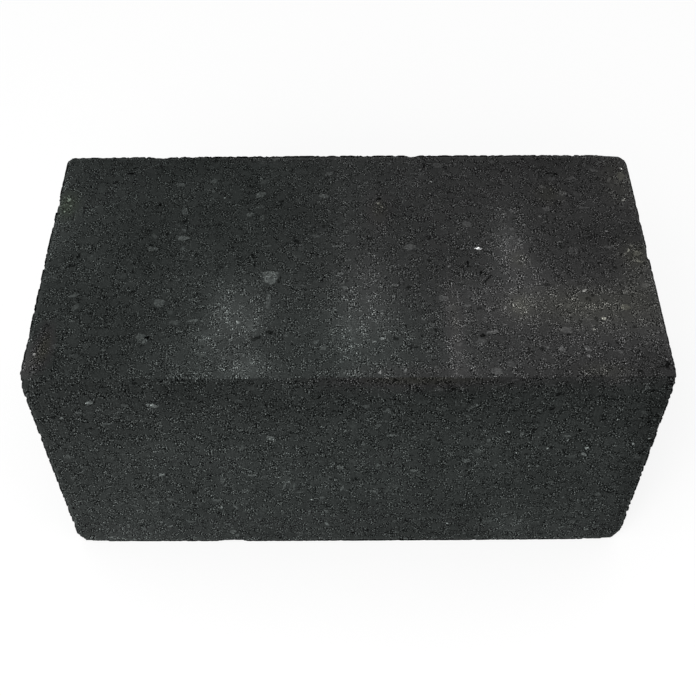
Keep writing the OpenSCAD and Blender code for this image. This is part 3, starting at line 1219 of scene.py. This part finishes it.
    def coloured(self, tree: Tree, level: Socket, warm: Socket, speckle: Socket) -> Socket:
        """Turns a grey level to light, tints it and speckles it.

        Args:
            tree: The material's tree.
            level: The grey level.
            warm: The tint, from 1 for sand over 0 for plain paste to -1 for slate, and -6 for
                algae.
            speckle: What the light is multiplied by.

        Returns:
            The colour.
        """
        add = partial(add_node, tree)
        paste, slate, sand, algae = map(linear, (self.paste, self.slate, self.sand, self.algae))
        share = add(MATH, {0: level, 1: 1 / GREY_LEVELS, 2: 0.055}, operation="MULTIPLY_ADD")
        share = add(MATH, {0: share, 1: 1.055}, operation="DIVIDE")
        light = add(MATH, {0: share, 1: 2.4}, operation="POWER")
        light = add(MATH, {0: light, 1: paste[0]}, operation="DIVIDE")
        light = add(MATH, {0: light, 1: speckle}, operation="MULTIPLY")
        rich = add(RANGE, {0: warm, 1: 0.0, 2: -1.0})
        bare = add(RANGE, {0: warm, 1: 0.0, 2: 1.0})
        green = add(RANGE, {0: warm, 1: -2.0, 2: -6.0})
        colour = add(MIX, {0: rich, 6: paste, 7: slate}, data_type="RGBA")
        colour = add(MIX, {0: bare, 6: colour, 7: sand}, data_type="RGBA")
        colour = add(MIX, {0: green, 6: colour, 7: algae}, data_type="RGBA")
        return add(VECTOR, {0: colour, "Scale": light}, operation="SCALE")


@dataclass(frozen=True)
class Slot:
    """A rectangle of the unwrapping, in shares of the map.

    Attributes:
        left: Its left side.
        low: Its lower side.
        wide: Its width.
        high: Its height.
        turned: Whether the face stands on its end in it.
    """

    left: float
    low: float
    wide: float
    high: float
    turned: bool = False


@dataclass(frozen=True)
class CastBlock:
    """The block as it was cast, handled and chipped.

    Attributes:
        size: The block's size.
        concrete: What it is made of.
        pitch: Spacing of the relief's grid.
        triangles: How many triangles are kept of it.
        top_arris: Rounding of the arrises round the top.
        base_arris: Rounding of the arrises round the underside.
        upright_arris: Rounding of the upright arrises.
        belly: How much the long faces bow out between their ends.
        crown: How much the top bows up.
        skin: Depth of the skin's middle level below the faces' highest points.
        waviness: Height of the broad waves of the faces.
        tooth: Height of the relief of the coarse sand.
        crumble: How far the arrises have crumbled.
        pit: Depth of the air pits.
        seed: Where the random draws start.
    """

    size: BlockSize
    concrete: PressedConcrete
    pitch: float
    triangles: int = 190_000
    top_arris: float = 0.5
    base_arris: float = 0.3
    upright_arris: float = 0.4
    belly: float = 0.55
    crown: float = 0.05
    skin: float = 0.08
    waviness: float = 0.06
    tooth: float = 0.04
    crumble: float = 0.8
    pit: float = 0.7
    seed: int = 7

    def arris(self, place: Triple) -> float:
        """Gives the rounding of the arris at a place given in shares of the half size."""
        if abs(place[2]) < 1:
            return self.upright_arris
        return self.top_arris if place[2] > 0 else self.base_arris

    def eased(self, tree: Tree, given: Sockets, half: Socket) -> tuple[Socket, Socket]:
        """Rounds the arrises of the grid.

        Args:
            tree: The relief's tree.
            given: Its inputs.
            half: Half the block's size.

        Returns:
            The rounded place and the direction out of the block there.
        """
        add = partial(add_node, tree)
        place = add(POSITION)
        height = add(VECTOR, {0: place, 1: half}, operation="DIVIDE")
        height = add(SPLIT, {0: height}).node.outputs["Z"]
        top = add(RANGE, {0: height, 1: 0.92, 2: 0.98})
        base = add(RANGE, {0: height, 1: -0.92, 2: -0.98})
        radius = {0: top, 2: given["Upright arris"], 3: given["Top arris"]}
        radius = add(MIX, radius, data_type="FLOAT")
        radius = add(MIX, {0: base, 2: radius, 3: given["Base arris"]}, data_type="FLOAT")
        uneven = add(NOISE, {"Vector": place, "Scale": 1 / 14, "Detail": 2.0})
        uneven = add(RANGE, {0: uneven, 1: 0.3, 2: 0.7, 3: 0.7, 4: 1.5})
        radius = add(MATH, {0: radius, 1: uneven}, operation="MULTIPLY")
        inner = add(VECTOR, {0: half, 1: radius}, operation="SUBTRACT")
        lowest = add(VECTOR, {0: inner, "Scale": -1.0}, operation="SCALE")
        core = add(VECTOR, {0: place, 1: lowest}, operation="MAXIMUM")
        core = add(VECTOR, {0: core, 1: inner}, operation="MINIMUM")
        outward = add(VECTOR, {0: place, 1: core}, operation="SUBTRACT")
        outward = add(VECTOR, {0: outward}, operation="NORMALIZE")
        return add(VECTOR, {0: outward, 1: radius, 2: core}, operation="MULTIPLY_ADD"), outward

    def bowed(self, tree: Tree, given: Sockets, half: Socket, place: Socket) -> Socket:
        """Draws the faces in towards their ends, so that they bow out in the middle.

        Args:
            tree: The relief's tree.
            given: Its inputs.
            half: Half the block's size.
            place: The place before.

        Returns:
            The place after.
        """
        add = partial(add_node, tree)
        share = add(VECTOR, {0: place, 1: half}, operation="DIVIDE")
        square_x = add(SPLIT, {0: add(VECTOR, {0: share, 1: share}, operation="MULTIPLY")})
        square_y = square_x.node.outputs["Y"]
        share_x = add(SPLIT, {0: share})
        share_y, share_z = share_x.node.outputs["Y"], share_x.node.outputs["Z"]
        above = add(MATH, {0: share_z, 1: 0.0}, operation="MAXIMUM")

        # The ends lean in towards the top and the corners, and the long faces towards the ends
        rise = add(MATH, {0: above, 1: above}, operation="MULTIPLY")
        rise = add(MATH, {0: square_y, 1: 0.5, 2: rise}, operation="MULTIPLY_ADD")
        ends = add(MATH, {0: rise, 1: share_x}, operation="MULTIPLY")
        ends = add(MATH, {0: ends, 1: 0.6}, operation="MULTIPLY")
        ends = add(MATH, {0: ends, 1: given["Belly"]}, operation="MULTIPLY")
        sides = add(MATH, {0: square_x, 1: share_y}, operation="MULTIPLY")
        sides = add(MATH, {0: sides, 1: given["Belly"]}, operation="MULTIPLY")
        top = add(MATH, {0: square_x, 1: square_y}, operation="ADD")
        top = add(MATH, {0: top, 1: above}, operation="MULTIPLY")
        top = add(MATH, {0: top, 1: given["Crown"]}, operation="MULTIPLY")
        pull = add(JOIN, {"X": ends, "Y": sides, "Z": top})
        return add(VECTOR, {0: place, 1: pull}, operation="SUBTRACT")

    def broken(self, tree: Tree, place: Socket) -> tuple[Socket, Socket]:
        """Breaks the corners off and chips the arrises.

        Args:
            tree: The relief's tree.
            place: The place before.

        Returns:
            The place after, and the mask of the broken surfaces.
        """
        add = partial(add_node, tree)
        coarse = {"Vector": place, "Scale": 1 / 5.5, "Detail": 4.0, "Roughness": 0.6}
        ragged = add(MATH, {0: add(NOISE, coarse), 1: 0.5}, operation="SUBTRACT")
        ragged = add(MATH, {0: ragged, 1: 2.4}, operation="MULTIPLY")
        spall, chip = spall_group(), chip_group()
        cuts = [(spall, {"Point": p, "Out": o}) for p, o in (s.plane(self.size) for s in SPALLS)]
        for item in CHIPS:
            centre, radius = item.ball(self.size, self.arris(item.place))
            cuts.append((chip, {"Centre": centre, "Radius": radius}))
        mask: Socket | float = 0.0
        for group, numbers in cuts:
            inputs = numbers | {"Place": place, "Ragged": ragged, "Broken": mask}
            node = add(GEOMETRY_GROUP, inputs, node_tree=group).node
            place, mask = node.outputs["Place"], node.outputs["Broken"]
        return place, mask

    def laid_out(self, tree: Tree, half: Socket) -> tuple[Socket, Socket, Socket]:
        """Lays the grid out flat.

        Args:
            tree: The relief's tree.
            half: Half the block's size.

        Returns:
            The grid's own place, the place on the sheets, and the distance from the nearest
            arris.
        """
        place = add_node(tree, POSITION)
        inputs = {"Place": place, "Half size": half}
        group = unfold_group("GeometryNodeTree")
        sheet = add_node(tree, GEOMETRY_GROUP, inputs, node_tree=group)
        return place, sheet, sheet.node.outputs["From arris"]

    def crumbled(self, tree: Tree, given: Sockets, half: Socket) -> tuple[Socket, Socket]:
        """Works out how far the arrises have crumbled, by bites as large as the lost grains.

        Args:
            tree: The relief's tree.
            given: Its inputs.
            half: Half the block's size.

        Returns:
            Where the arrises get painted shade, from 0 to 1, and the depth of what has gone.
        """
        add = partial(add_node, tree)
        place, _, from_arris = self.laid_out(tree, half)
        share_x = add(SPLIT, {0: add(VECTOR, {0: place, 1: half}, operation="DIVIDE")})
        share_y, share_z = share_x.node.outputs["Y"], share_x.node.outputs["Z"]
        length = add(MATH, {0: share_x}, operation="ABSOLUTE")

        # Grains that are lost whole, and the sand between them that has come away
        grain = add(CELLS, {"Vector": place, "Scale": 1 / 3.0})
        bite = add(RANGE, {0: grain, 1: 0.6, 2: 0.2}, interpolation_type="SMOOTHSTEP")
        chance = add(SPLIT, {0: grain.node.outputs["Color"]})
        lost = add(MATH, {0: chance, 1: 0.4}, operation="LESS_THAN")
        bite = add(MATH, {0: bite, 1: lost}, operation="MULTIPLY")
        bite = add(MATH, {0: bite, 1: 0.9}, operation="MULTIPLY")
        sand = add(NOISE, {"Vector": place, "Scale": 1 / 3.4, "Detail": 3.0, "Roughness": 0.6})
        sand = add(MATH, {0: sand, 1: 0.5}, operation="SUBTRACT")
        sand = add(MATH, {0: sand, 1: 0.0}, operation="MAXIMUM")
        gone = add(MATH, {0: sand, 1: 7.5, 2: bite}, operation="MULTIPLY_ADD")
        worse = add(NOISE, {"Vector": place, "Scale": 1 / 22, "Detail": 1.0})
        worse = add(RANGE, {0: worse, 1: 0.35, 2: 0.65, 3: 0.5, 4: 1.3})
        lower = add(RANGE, {0: share_z, 1: -1.0, 2: -0.9, 3: 0.25, 4: 1.0})
        for factor in (worse, lower):
            gone = add(MATH, {0: gone, 1: factor}, operation="MULTIPLY")

        # The end arrises of the top get most of the knocks, above all at the back of the right
        high = add(MATH, {0: length, 1: share_z}, operation="MINIMUM")
        end = add(RANGE, {0: high, 1: 0.9, 2: 0.98})
        farther = add(MATH, {0: share_y, 1: 0.45, 2: 0.55}, operation="MULTIPLY_ADD")
        knocks = add(MATH, {0: share_x, 1: 1.0}, operation="ADD")
        knocks = add(MATH, {0: knocks, 1: farther, 2: 0.2}, operation="MULTIPLY_ADD")
        depth = add(MATH, {0: end, 1: knocks, 2: gone}, operation="MULTIPLY_ADD")

        # It fades out within a millimetre or two of the arris, and farther down the ends
        on_end = add(MATH, {0: length, 1: 0.9999}, operation="GREATER_THAN")
        fading = add(MIX, {0: on_end, 2: -1 / 1.3, 3: -1 / 4.0}, data_type="FLOAT")
        fading = add(MATH, {0: from_arris, 1: fading}, operation="MULTIPLY")
        near = add(MATH, {0: fading}, operation="EXPONENT")
        for factor in (near, given["Crumble"]):
            depth = add(MATH, {0: depth, 1: factor}, operation="MULTIPLY")

        # The painted shade is left off the front arris of the top, where the light falls
        front = add(MATH, {0: share_y, 1: -1.0}, operation="MULTIPLY")
        front_top = add(MATH, {0: front, 1: share_z}, operation="MINIMUM")
        film = add(RANGE, {0: front_top, 1: 0.9, 2: 0.95, 3: 1.0, 4: 0.0})
        return film, depth

    def relief(
        self, tree: Tree, given: Sockets, half: Socket, mask: Socket, gone: Socket
    ) -> Socket:
        """Works out the height of the skin above the rounded block, which is never above 0.

        Args:
            tree: The relief's tree.
            given: Its inputs.
            half: Half the block's size.
            mask: The mask of the broken surfaces.
            gone: How far the arrises have crumbled.

        Returns:
            The height.
        """
        add = partial(add_node, tree)
        place, sheet, _ = self.laid_out(tree, half)
        wave = add(NOISE, {"Vector": sheet, "Scale": 1 / 35, "Detail": 1.0}, **FLAT)
        sand = {"Vector": sheet, "Scale": 1 / 3.0, "Detail": 3.0, "Roughness": 0.65}
        sand = add(NOISE, sand, **FLAT)
        height: Socket | float = 0.0
        for swell, tall in ((wave, given["Waviness"]), (sand, given["Tooth"])):
            swell = add(MATH, {0: swell, 1: 0.5}, operation="SUBTRACT")
            swell = add(MATH, {0: swell, 1: tall}, operation="MULTIPLY")
            height = add(MATH, {0: swell, 1: 2.0, 2: height}, operation="MULTIPLY_ADD")
        height = add(MATH, {0: height, 1: given["Skin"]}, operation="SUBTRACT")
        inputs = {"Sheet": sheet, "Spacing": 9.0, "Radius": 1.25, "Share": 1.1}
        pits = add(GEOMETRY_GROUP, inputs, node_tree=pits_group("GeometryNodeTree"))
        pits = add(MATH, {0: pits, 1: given["Pit"]}, operation="MULTIPLY")
        height = add(MATH, {0: height, 1: pits}, operation="SUBTRACT")

        # The board that the block was made on left the underside flatter
        share = add(SPLIT, {0: add(VECTOR, {0: place, 1: half}, operation="DIVIDE")})
        board = {0: share.node.outputs["Z"], 1: -0.998, 2: -0.97, 3: 0.35, 4: 1.0}
        height = add(MATH, {0: height, 1: add(RANGE, board)}, operation="MULTIPLY")
        torn = add(NOISE, {"Vector": place, "Scale": 1 / 2.2, "Detail": 3.0, "Roughness": 0.7})
        torn = add(MATH, {0: torn, 1: 0.9}, operation="MULTIPLY")
        torn = add(MATH, {0: torn, 1: mask}, operation="MULTIPLY")
        for lost in (gone, torn):
            height = add(MATH, {0: height, 1: lost}, operation="SUBTRACT")
        return add(MATH, {0: height, 1: -0.02}, operation="MINIMUM")

    def relief_tree(self, numbers: dict[str, float | bpy.types.Material]) -> Tree:
        """Makes the tree that casts the block.

        Args:
            numbers: The block's sizes and its material, by name.

        Returns:
            The tree, with an input for each of them.
        """
        kinds = {name: "Float" for name in numbers} | {"Concrete": "Material"}
        outputs = {"Casting": "Geometry"}
        tree, given, out = new_tree("cast_block", "GeometryNodeTree", kinds, outputs)
        add = partial(add_node, tree)
        size = add(JOIN, {"X": given["Length"], "Y": given["Depth"], "Z": given["Height"]})
        half = add(VECTOR, {0: size, "Scale": 0.5}, operation="SCALE")
        steps = add(SPLIT, {0: add(VECTOR, {0: size, 1: given["Pitch"]}, operation="DIVIDE")})
        counts = {"Vertices " + side: steps.node.outputs[side] for side in "XYZ"}
        grid = add("GeometryNodeMeshCube", {"Size": size} | counts)
        place, outward = self.eased(tree, given, half)
        place = self.bowed(tree, given, half, place)
        place, mask = self.broken(tree, place)
        dirt, gone = self.crumbled(tree, given, half)
        height = self.relief(tree, given, half, mask, gone)
        worn = add(MATH, {0: gone, 1: mask}, operation="MAXIMUM")
        cast = grid
        for name, value in {"worn": worn, "gone": gone, "dirt": dirt}.items():
            inputs = {"Geometry": cast, "Name": name, "Value": value}
            cast = add("GeometryNodeStoreNamedAttribute", inputs)
        place = add(VECTOR, {0: outward, 1: height, 2: place}, operation="MULTIPLY_ADD")
        raised = add(JOIN, {"Z": add(SPLIT, {0: half}).node.outputs["Z"]})
        place = add(VECTOR, {0: place, 1: raised}, operation="ADD")
        place = add(VECTOR, {0: place, "Scale": MM}, operation="SCALE")
        cast = add("GeometryNodeSetPosition", {"Geometry": cast, "Position": place})
        cast = add("GeometryNodeSetShadeSmooth", {"Geometry": cast})
        cast = add("GeometryNodeRealizeInstances", {"Geometry": cast})
        cast = add("GeometryNodeSetMaterial", {"Geometry": cast, "Material": given["Concrete"]})
        tree.links.new(cast, out.inputs["Casting"])
        return tree

    def cast(self, material: bpy.types.Material) -> bpy.types.Object:
        """Casts the block and thins its mesh out where it is flat.

        Args:
            material: Its concrete.

        Returns:
            The block, a plain mesh.
        """
        block = bpy.data.objects.new("concrete_block", bpy.data.meshes.new("concrete_block"))
        bpy.context.scene.collection.objects.link(block)
        numbers = {
            "Length": self.size.length,
            "Depth": self.size.depth,
            "Height": self.size.height,
            "Pitch": self.pitch,
            "Top arris": self.top_arris,
            "Base arris": self.base_arris,
            "Upright arris": self.upright_arris,
            "Belly": self.belly,
            "Crown": self.crown,
            "Skin": self.skin,
            "Waviness": self.waviness,
            "Tooth": self.tooth,
            "Crumble": self.crumble,
            "Pit": self.pit,
            "Concrete": material,
        }
        modifier = block.modifiers.new("cast", "NODES")
        modifier.node_group = self.relief_tree(numbers)
        for item in modifier.node_group.interface.items_tree:
            if item.in_out == "INPUT":
                modifier[item.identifier] = numbers[item.name]
        self.harden(block)
        count = sum(len(p.vertices) - 2 for p in block.data.polygons)
        if count > self.triangles:
            thinning = block.modifiers.new("thin_out", "DECIMATE")
            thinning.ratio = self.triangles / count
            self.harden(block)
        return block

    def harden(self, block: bpy.types.Object) -> None:
        """Turns what the block's modifiers give into its plain mesh.

        Args:
            block: The block.
        """
        graph = bpy.context.evaluated_depsgraph_get()
        mesh = bpy.data.meshes.new_from_object(block.evaluated_get(graph), depsgraph=graph)
        block.modifiers.clear()
        block.data = mesh

    def chosen_marks(self) -> list[Mark]:
        """Lists the given marks, with smaller ones scattered between them.

        Returns:
            The marks of all faces.
        """
        marks = [ON_TOP.mark(row) for row in TOP_MARKS]
        marks += [ON_FRONT.mark(row) for row in FRONT_MARKS]
        draw = random.Random(self.seed)
        for face in Face:
            length, height = self.size.extent(face)
            placed = [m for m in marks if m.face is face]

            # About one to a square centimetre, nearly all of them small
            for _ in range(int(length * height / (105 if placed else 90))):
                along = draw.uniform(-0.5, 0.5) * (length - 3)
                up = draw.uniform(-0.5, 0.5) * (height - 3)
                large = draw.random() ** (5 if placed else 3)
                long = 0.5 + 0.5 * draw.random() + 1.9 * large
                wide = long * draw.uniform(0.35, 0.85)
                turn = draw.gauss(0, 35)
                gain = 5 + 16 * draw.random() ** 3

                # One in eight is a hole, darkened with painted shade, and one in thirty a quartz grain
                if draw.random() < 0.12:
                    gain, long, wide = -17, 0.6 + 0.5 * long, 0.5 + 0.5 * wide
                if draw.random() < 0.035:
                    gain, long, wide = draw.uniform(25, 75), 0.5, 0.4
                gaps = [(math.hypot(m.along - along, m.up - up), m.long + long) for m in placed]
                if all(gap > reach + 0.8 for gap, reach in gaps):
                    marks.append(Mark(face, along, up, long, wide, turn, gain))
        return marks

    def read_points(self, items: bpy.types.bpy_prop_collection, name: str) -> np.ndarray:
        """Reads places off the mesh, as distances from the block's middle.

        Args:
            items: The mesh's vertices or polygons.
            name: Their property that holds the place.

        Returns:
            The places, one a row.
        """
        numbers = np.empty(len(items) * 3, np.float32)
        items.foreach_get(name, numbers)
        return numbers.reshape(-1, 3) / MM - (0, 0, self.size.half.z)

    def lay_marks(self, mesh: bpy.types.Mesh) -> None:
        """Gives each triangle the numbers of the mark that it may carry.

        Args:
            mesh: The block's mesh.
        """
        along, up, sheet = self.size.sheets(self.read_points(mesh.polygons, "center"))
        count = len(mesh.polygons)
        nearest = np.full(count, 9.0)
        centre, axis, look = (np.zeros((count, 3), np.float32) for _ in range(3))
        centre[:, 1] = NOWHERE
        axis[:, 0] = 1.0
        look[:, 0] = 1.0
        order = {face: np.nonzero(sheet == face.value)[0] for face in Face}
        margin = 0.7
        for mark in self.chosen_marks():
            own = order[mark.face]

            # Its ragged edge and its moat reach past its oval
            span = 1.3 * mark.long + 2.4
            near = np.abs(along[own] - mark.along) < span
            near &= np.abs(up[own] - mark.up) < span
            own = own[near]
            angle = math.radians(mark.turn)
            cos, sin = math.cos(angle), math.sin(angle)
            x, y = along[own] - mark.along, up[own] - mark.up
            lengthwise = (x * cos + y * sin) / (mark.long + margin)
            crosswise = (y * cos - x * sin) / (mark.wide + margin)
            reach = np.hypot(lengthwise, crosswise)
            closer = reach < nearest[own]
            own = own[closer]
            nearest[own] = reach[closer]
            centre[own] = (mark.along + SHEET_STEP * mark.face.value, mark.up, 0.0)
            axis[own] = (cos / mark.long, sin / mark.long, 0.0)
            look[own] = (mark.long / mark.wide, mark.gain, mark.warmth)
        for name, values in {"mark_centre": centre, "mark_axis": axis, "mark_look": look}.items():
            layer = mesh.attributes.new(name, "FLOAT_VECTOR", "FACE")
            layer.data.foreach_set("vector", values.ravel())

    def lay_clouds(self, mesh: bpy.types.Mesh) -> None:
        """Gives each point its clouds, lime bloom and painted light across the front, and its warmth.

        Args:
            mesh: The block's mesh.
        """
        along, up, sheet = self.size.sheets(self.read_points(mesh.vertices, "co"))
        clouds = [Cloud(Face.TOP, *numbers) for numbers in TOP_CLOUDS]
        clouds += [Cloud(Face.FRONT, *numbers) for numbers in FRONT_CLOUDS]
        draw = random.Random(self.seed + 1)
        for face in (Face.UNDERSIDE, Face.BACK, Face.LEFT_END, Face.RIGHT_END):
            length, height = self.size.extent(face)
            clouds.append(Cloud(face, 0, 0, 200, 100, 3.0, -0.8))
            for _ in range(int(length * height / 3500)):
                place = draw.uniform(-0.5, 0.5) * length, draw.uniform(-0.5, 0.5) * height
                spread = draw.uniform(6, 26), draw.uniform(8, 34)
                gain, warmth = draw.uniform(-3, 6), draw.uniform(-0.3, 0.6)
                clouds.append(Cloud(face, *place, *spread, gain, warmth))
        haze, warmths = np.zeros(len(along)), np.zeros(len(along))
        for cloud in clouds:
            x, y = (along - cloud.along) / cloud.reach, (up - cloud.up) / cloud.rise
            share = np.exp(-0.5 * (x * x + y * y)) * (sheet == cloud.face.value)
            haze += cloud.gain * share
            warmths += cloud.warmth * share
        for name, values in {"haze": haze, "warmth": warmths}.items():
            layer = mesh.attributes.new(name, "FLOAT", "POINT")
            layer.data.foreach_set("value", values.astype(np.float32))

    def unwrap(self, mesh: bpy.types.Mesh) -> None:
        """Lays the faces side by side on one map, with no overlap.

        Args:
            mesh: The block's mesh.
        """
        long, short = 2 / 3, 1 / 3
        slots = {
            Face.TOP: Slot(0, 0, long, short),
            Face.FRONT: Slot(long, 0, short, long, True),
            Face.BACK: Slot(short, long, long, short),
            Face.UNDERSIDE: Slot(0, short, short, short),
            Face.LEFT_END: Slot(0, long, short, short),
            Face.RIGHT_END: Slot(short, short, short, short),
        }
        gutter = 0.004
        corners = len(mesh.loops)
        vertex = np.empty(corners, np.int32)
        mesh.loops.foreach_get("vertex_index", vertex)
        points = self.read_points(mesh.vertices, "co")[vertex]
        sizes = np.empty(len(mesh.polygons), np.int32)
        mesh.polygons.foreach_get("loop_total", sizes)
        faces = self.size.sheets(self.read_points(mesh.polygons, "center"))[2]
        sheet = np.repeat(faces, sizes)
        on_end, on_bed = sheet >= Face.LEFT_END.value, sheet <= Face.TOP.value
        across = np.where(on_end, points[:, 1], points[:, 0])
        height = np.where(on_bed, points[:, 1], points[:, 2])
        places = np.zeros((corners, 2), np.float32)
        for face, slot in slots.items():
            own = sheet == face.value
            length, tall = self.size.extent(face)
            u = np.clip(across[own] / length + 0.5, 0, 1)
            v = np.clip(height[own] / tall + 0.5, 0, 1)
            if slot.turned:
                u, v = 1 - v, u
            places[own, 0] = slot.left + gutter + u * (slot.wide - 2 * gutter)
            places[own, 1] = slot.low + gutter + v * (slot.high - 2 * gutter)
        layer = mesh.uv_layers.new(name="OFBake")
        layer.data.foreach_set("uv", places.ravel())

    def build(self) -> bpy.types.Object:
        """Casts, marks and unwraps the block.

        Returns:
            The finished block.
        """
        block = self.cast(self.concrete.material(self.size))
        self.lay_marks(block.data)
        self.lay_clouds(block.data)
        self.unwrap(block.data)
        return block


@dataclass(frozen=True)
class Studio:
    """Pale floor, soft light and the camera.

    Attributes:
        size: The block's size.
        lens: Focal length on a 36 mm sensor.
        distance: From the camera to what it looks at.
        elevation: Angle of the camera's view below the horizon, in degrees.
        roll: Tilt of the camera, in degrees.
        fill: Light that comes from all round, as a share of a full white.
        key: Power of the large lamp in front, in watts.
    """

    size: BlockSize
    lens: float = 57.888
    distance: float = 612.7
    elevation: float = 51.3
    roll: float = -0.28
    fill: float = 0.62
    key: float = 10.6

    def camera(self) -> None:
        """Sets the camera up in front of the block, above it."""
        aim = Vector((0.0, 2.6, self.size.half.z)) * MM
        angle = math.radians(self.elevation)
        away = Vector((0, -math.cos(angle), math.sin(angle))) * self.distance * MM
        data = bpy.data.cameras.new("camera")
        data.lens = self.lens
        data.sensor_width = 36.0
        camera = bpy.data.objects.new("camera", data)
        camera.location = aim + away
        turn = (-away).to_track_quat("-Z", "Y").to_matrix().to_4x4()
        spin = Matrix.Rotation(math.radians(self.roll), 4, "Z")
        camera.rotation_euler = (turn @ spin).to_euler()
        bpy.context.scene.collection.objects.link(camera)
        bpy.context.scene.camera = camera

    def shown(self, tree: Tree) -> Socket:
        """Tells the rays that should see plain white from those that carry light.

        Args:
            tree: The tree of the floor or the world.

        Returns:
            1 for camera, glossy and transmission rays.
        """
        path = add_node(tree, "ShaderNodeLightPath").node.outputs
        sharp = add_node(
            tree, MATH, {0: path["Is Glossy Ray"], 1: path["Is Transmission Ray"]}, operation="MAXIMUM"
        )
        return add_node(tree, MATH, {0: path["Is Camera Ray"], 1: sharp}, operation="MAXIMUM")

    def world(self) -> None:
        """Makes a plain white surround that lights softly from all round."""
        world = bpy.data.worlds.new("studio")
        world.use_nodes = True
        tree = world.node_tree
        strength = add_node(tree, MIX, {0: self.shown(tree), 2: self.fill, 3: 1.0}, data_type="FLOAT")
        tree.links.new(strength, tree.nodes["Background"].inputs["Strength"])
        tree.nodes["Background"].inputs["Color"].default_value = linear("#FFFFFF")
        bpy.context.scene.world = world

    def lamps(self) -> None:
        """Hangs one large soft lamp in front of the block, above it and a little to the left."""
        data = bpy.data.lights.new("key", "AREA")
        data.shape = "SQUARE"
        data.size = 1.0
        data.energy = self.key
        lamp = bpy.data.objects.new("key", data)
        place = Vector((-0.28, -0.95, 0.98))
        lamp.location = place
        lamp.rotation_euler = (-place).to_track_quat("-Z", "Y").to_euler()
        bpy.context.scene.collection.objects.link(lamp)

    def floor(self) -> None:
        """Lays a white floor that keeps the block's shadow."""
        reach = 4.0
        signs = [(-1, -1), (1, -1), (1, 1), (-1, 1)]
        mesh = bpy.data.meshes.new("floor")
        mesh.from_pydata([(x * reach, y * reach, 0.0) for x, y in signs], [], [(0, 1, 2, 3)])
        floor = bpy.data.objects.new("floor", mesh)
        bpy.context.scene.collection.objects.link(floor)
        material = bpy.data.materials.new("white_studio_floor")
        material.use_nodes = True
        tree = material.node_tree
        tree.nodes.remove(tree.nodes["Principled BSDF"])
        plain = add_node(tree, "ShaderNodeBsdfDiffuse", {"Color": linear("#E4E4E4")})
        faint = add_node(tree, "ShaderNodeBsdfDiffuse", {"Color": linear("#9C9C9C")})
        glow = add_node(tree, "ShaderNodeEmission", {"Color": linear("#FFFFFF"), "Strength": 0.72})
        white = add_node(tree, "ShaderNodeAddShader", {0: faint, 1: glow})
        mixed = add_node(tree, "ShaderNodeMixShader", {0: self.shown(tree), 1: plain, 2: white})
        tree.links.new(mixed, tree.nodes["Material Output"].inputs["Surface"])
        mesh.materials.append(material)

    def build(self) -> None:
        """Sets up the whole studio and its plain view transform."""
        self.camera()
        self.world()
        self.lamps()
        self.floor()
        bpy.context.scene.view_settings.view_transform = "Standard"


def main() -> None:
    """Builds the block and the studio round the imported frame."""
    logging.basicConfig(level=logging.INFO, format="%(name)s: %(message)s")
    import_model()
    size = BlockSize.of_node(NODE)
    block = CastBlock(size, PressedConcrete(), pitch=0.75).build()
    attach(block, BODY)
    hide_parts(NODE)
    LOG.info("%s: %d faces", block.name, len(block.data.polygons))
    Studio(size).build()


if __name__ == "__main__":
    main()
